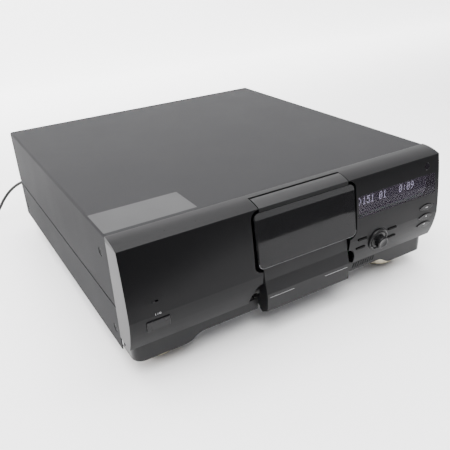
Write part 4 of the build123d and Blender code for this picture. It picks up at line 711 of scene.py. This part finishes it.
# ---------------------------------------------------------------------------
# The cord: one wire from the strain relief, over the floor and into its coil
# ---------------------------------------------------------------------------
CORD_RADIUS, CORD_FACETS = 2.5 * MM, 5
CORD_LIE = 2.7 * MM  # height of the cord's centre where it lies on the floor
COIL_X, COIL_Y = -330 * MM, 250 * MM
COIL_INNER, COIL_PITCH, COIL_RISE = 20.5 * MM, 6.5 * MM, 6.1 * MM
INWARD, OUTWARD = 6, 7  # half turns in the lower and the upper layer
COIL_HALF_TURNS = INWARD + 1 + OUTWARD
POINTS_PER_TURN = 12
COIL_LEAD = Vector((5 * MM, 0, 0))
GLAND_X, GLAND_Z = -176 * MM, 67 * MM
REAR_Y = 232.2 * MM


def coil_point(half_turns):
    """Centre of the wire after a number of half turns: in on the floor, up, and out on top."""
    climb = min(max(half_turns - INWARD, 0), 1)
    outward = max(half_turns - INWARD - 1, 0)
    spread = max(INWARD - half_turns, 0) + outward
    radius = COIL_INNER + COIL_PITCH / 2 * spread
    angle = radians(90 + 180 * half_turns)
    x, y = COIL_X + radius * cos(angle), COIL_Y + radius * sin(angle)
    return Vector((x, y, CORD_LIE + COIL_RISE * climb))


coil_entry = coil_point(0) + COIL_LEAD
coil_exit = coil_point(COIL_HALF_TURNS) - COIL_LEAD
route = [
    Vector((GLAND_X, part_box("cord_gland")[1].y, GLAND_Z)),
    Vector((GLAND_X, REAR_Y + 47 * MM, GLAND_Z)),
    Vector((-184.6 * MM, REAR_Y + 62 * MM, 65 * MM)),
    Vector((-199 * MM, REAR_Y + 70 * MM, 59.5 * MM)),
    Vector((-222 * MM, REAR_Y + 70.5 * MM, 53.5 * MM)),
    Vector((-243 * MM, REAR_Y + 68 * MM, 37.5 * MM)),
    Vector((-259 * MM, REAR_Y + 65 * MM, 15 * MM)),
    Vector((-282 * MM, REAR_Y + 61 * MM, CORD_LIE)),
    Vector((-304 * MM, coil_entry.y, CORD_LIE)),
    coil_entry,
]
coil_steps = COIL_HALF_TURNS * POINTS_PER_TURN // 2
coil = [coil_point(2 * step / POINTS_PER_TURN) for step in range(coil_steps + 1)]

cord = add_wire("mains_cord", "NURBS", route + coil + [coil_exit], CORD_RADIUS, CORD_FACETS, cord_pvc)
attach(cord, "case")
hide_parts("cord_run", "cord_coil")
tuple(route[0])


# ---------------------------------------------------------------------------
# Table and ground, in metres
# ---------------------------------------------------------------------------
TABLE_BACK = 1.30
TABLE_SIDE = 4.0
TABLE_THICKNESS = 0.02
TABLE_CORNERS = ((-TABLE_SIDE, -0.26), (-0.42, -0.26), (0.02, -0.53), (0.10, -0.62), (0.38, -0.63),
                 (0.60, -0.50), (0.90, -0.44), (TABLE_SIDE, -0.44))
TABLE_CREASE = radians(40)
SWEEP_RADIUS = 0.5
SWEEP_HEIGHT = 3.5
SWEEP_STEPS = 16
GLOW_START = 0.3
BACKDROP_GLOW = 2.2
GROUND_Z = -0.75
GROUND_REACH = 6.0
GROUND_BACK = 1.0


def pale_table():
    """The table's material: pale, with slow changes of tone and a glow that grows towards the back."""
    material, tree, shader = new_material("pale table", (0.92, 0.915, 0.92), 0.45)
    place = place_node(tree)
    broad = spread_node(tree, noise_node(tree, place, 3.0), 0.0, 1.0)
    tone = tint_node(tree, broad, (0.91, 0.905, 0.91), (0.93, 0.925, 0.93))
    glow = spread_node(tree, axis_node(tree, place, "Y"), 0.0, BACKDROP_GLOW, GLOW_START, TABLE_BACK,
                       smooth=True)
    tree.links.new(tone, shader.inputs["Base Color"])
    tree.links.new(glow, shader.inputs["Emission Strength"])
    shader.inputs["Emission Color"].default_value = (1.0, 1.0, 1.0, 1.0)
    return material


def build_table():
    """A pale sheet: flat under the player, with a slanting front edge, curving up behind."""
    profile = [(TABLE_BACK, 0.0)]
    for step in range(1, SWEEP_STEPS + 1):
        angle = pi / 2 * step / SWEEP_STEPS
        profile.append((TABLE_BACK + SWEEP_RADIUS * sin(angle), SWEEP_RADIUS * (1 - cos(angle))))
    profile.append((TABLE_BACK + SWEEP_RADIUS, SWEEP_HEIGHT))
    bm = bmesh.new()
    rows = []
    for x, front_y in TABLE_CORNERS:
        edge = [(front_y, -TABLE_THICKNESS), (front_y, 0.0)]
        rows.append([bm.verts.new((x, y, z)) for y, z in edge + profile])
    for one, other in zip(rows, rows[1:]):
        for i in range(len(one) - 1):
            bm.faces.new((one[i], one[i + 1], other[i + 1], other[i]))
    mesh = mesh_from("table", bm)
    mesh.shade_smooth()
    mesh.materials.append(pale_table())
    table = add_object("table", mesh)
    table.modifiers.new("edge", "EDGE_SPLIT").split_angle = TABLE_CREASE


def build_ground():
    """The darker ground far below the table's front edge."""
    bm = bmesh.new()
    corners = [(-GROUND_REACH, -GROUND_REACH), (GROUND_REACH, -GROUND_REACH),
               (GROUND_REACH, GROUND_BACK), (-GROUND_REACH, GROUND_BACK)]
    bm.faces.new([bm.verts.new((x, y, GROUND_Z)) for x, y in corners])
    mesh = mesh_from("ground", bm)
    mesh.materials.append(finish_of("ground", (0.10, 0.10, 0.10), 0.8, grain=40.0, depth=0.0, vary=0.05))
    add_object("ground", mesh)


# ---------------------------------------------------------------------------
# Light and camera
# ---------------------------------------------------------------------------
ROOM_DARK, ROOM_BRIGHT, ROOM_STRENGTH = (0.10, 0.10, 0.105), (1.0, 0.99, 1.0), 2.1
DARK_UP_TO, BRIGHT_FROM = -0.50, 0.10  # the Y part of the direction looked in
SOFT_BOXES = (  # name, place, target, size, watts
    ("left soft box", (-1.9, 0.3, 1.3), (0, 0, 0.1), (1.6, 1.2), 20),
    ("top soft box", (0.0, 0.0, 2.2), (0, 0, 0), (2.2, 1.8), 95),
    ("front soft box", (-0.5, -1.2, 1.9), (0, -0.2, 0), (1.6, 1.2), 65),
    ("right strip", (1.14, -1.83, 0.54), (0, -0.23, 0.155), (1.6, 0.34), 6),
)
CAMERA_PLACE = (-0.3536, -0.6689, 0.4141)
CAMERA_AZIMUTH, CAMERA_DOWN, CAMERA_ROLL = radians(29.55), radians(26.81), radians(-3.10)
FOCAL_PIXELS, IMAGE_WIDTH, SENSOR = 556.3, 450, 36.0


def build_room():
    """A world that is dark in front of the player and bright on every other side."""
    world = bpy.data.worlds.new("room")
    world.use_nodes = True
    tree = world.node_tree
    background = tree.nodes["Background"]
    direction = tree.nodes.new("ShaderNodeTexCoord").outputs["Generated"]
    side = spread_node(tree, axis_node(tree, direction, "Y"), 0.0, 1.0, DARK_UP_TO, BRIGHT_FROM,
                       smooth=True)
    tree.links.new(tint_node(tree, side, ROOM_DARK, ROOM_BRIGHT), background.inputs["Color"])
    background.inputs["Strength"].default_value = ROOM_STRENGTH
    bpy.context.scene.world = world


def add_area(name, place, target, size, power):
    """A soft box that faces its target."""
    light = bpy.data.lights.new(name, "AREA")
    light.shape = "RECTANGLE"
    light.size, light.size_y = size
    light.energy = power
    lamp = add_object(name, light)
    lamp.location = place
    lamp.rotation_euler = (Vector(target) - Vector(place)).to_track_quat("-Z", "Y").to_euler()


def build_camera():
    """The photograph's view."""
    ahead = Vector((sin(CAMERA_AZIMUTH) * cos(CAMERA_DOWN), cos(CAMERA_AZIMUTH) * cos(CAMERA_DOWN),
                    -sin(CAMERA_DOWN)))
    right = ahead.cross(Vector((0, 0, 1))).normalized()
    up = right.cross(ahead)
    turned_right = cos(CAMERA_ROLL) * right + sin(CAMERA_ROLL) * up
    turned_up = cos(CAMERA_ROLL) * up - sin(CAMERA_ROLL) * right
    data = bpy.data.cameras.new("camera")
    data.sensor_width = SENSOR
    data.lens = FOCAL_PIXELS / IMAGE_WIDTH * SENSOR
    camera = add_object("camera", data)
    turn = Matrix((turned_right, turned_up, -ahead)).transposed().to_4x4()
    camera.matrix_world = Matrix.Translation(CAMERA_PLACE) @ turn
    bpy.context.scene.camera = camera


build_table()
build_ground()
build_room()
for soft_box in SOFT_BOXES:
    add_area(*soft_box)
build_camera()
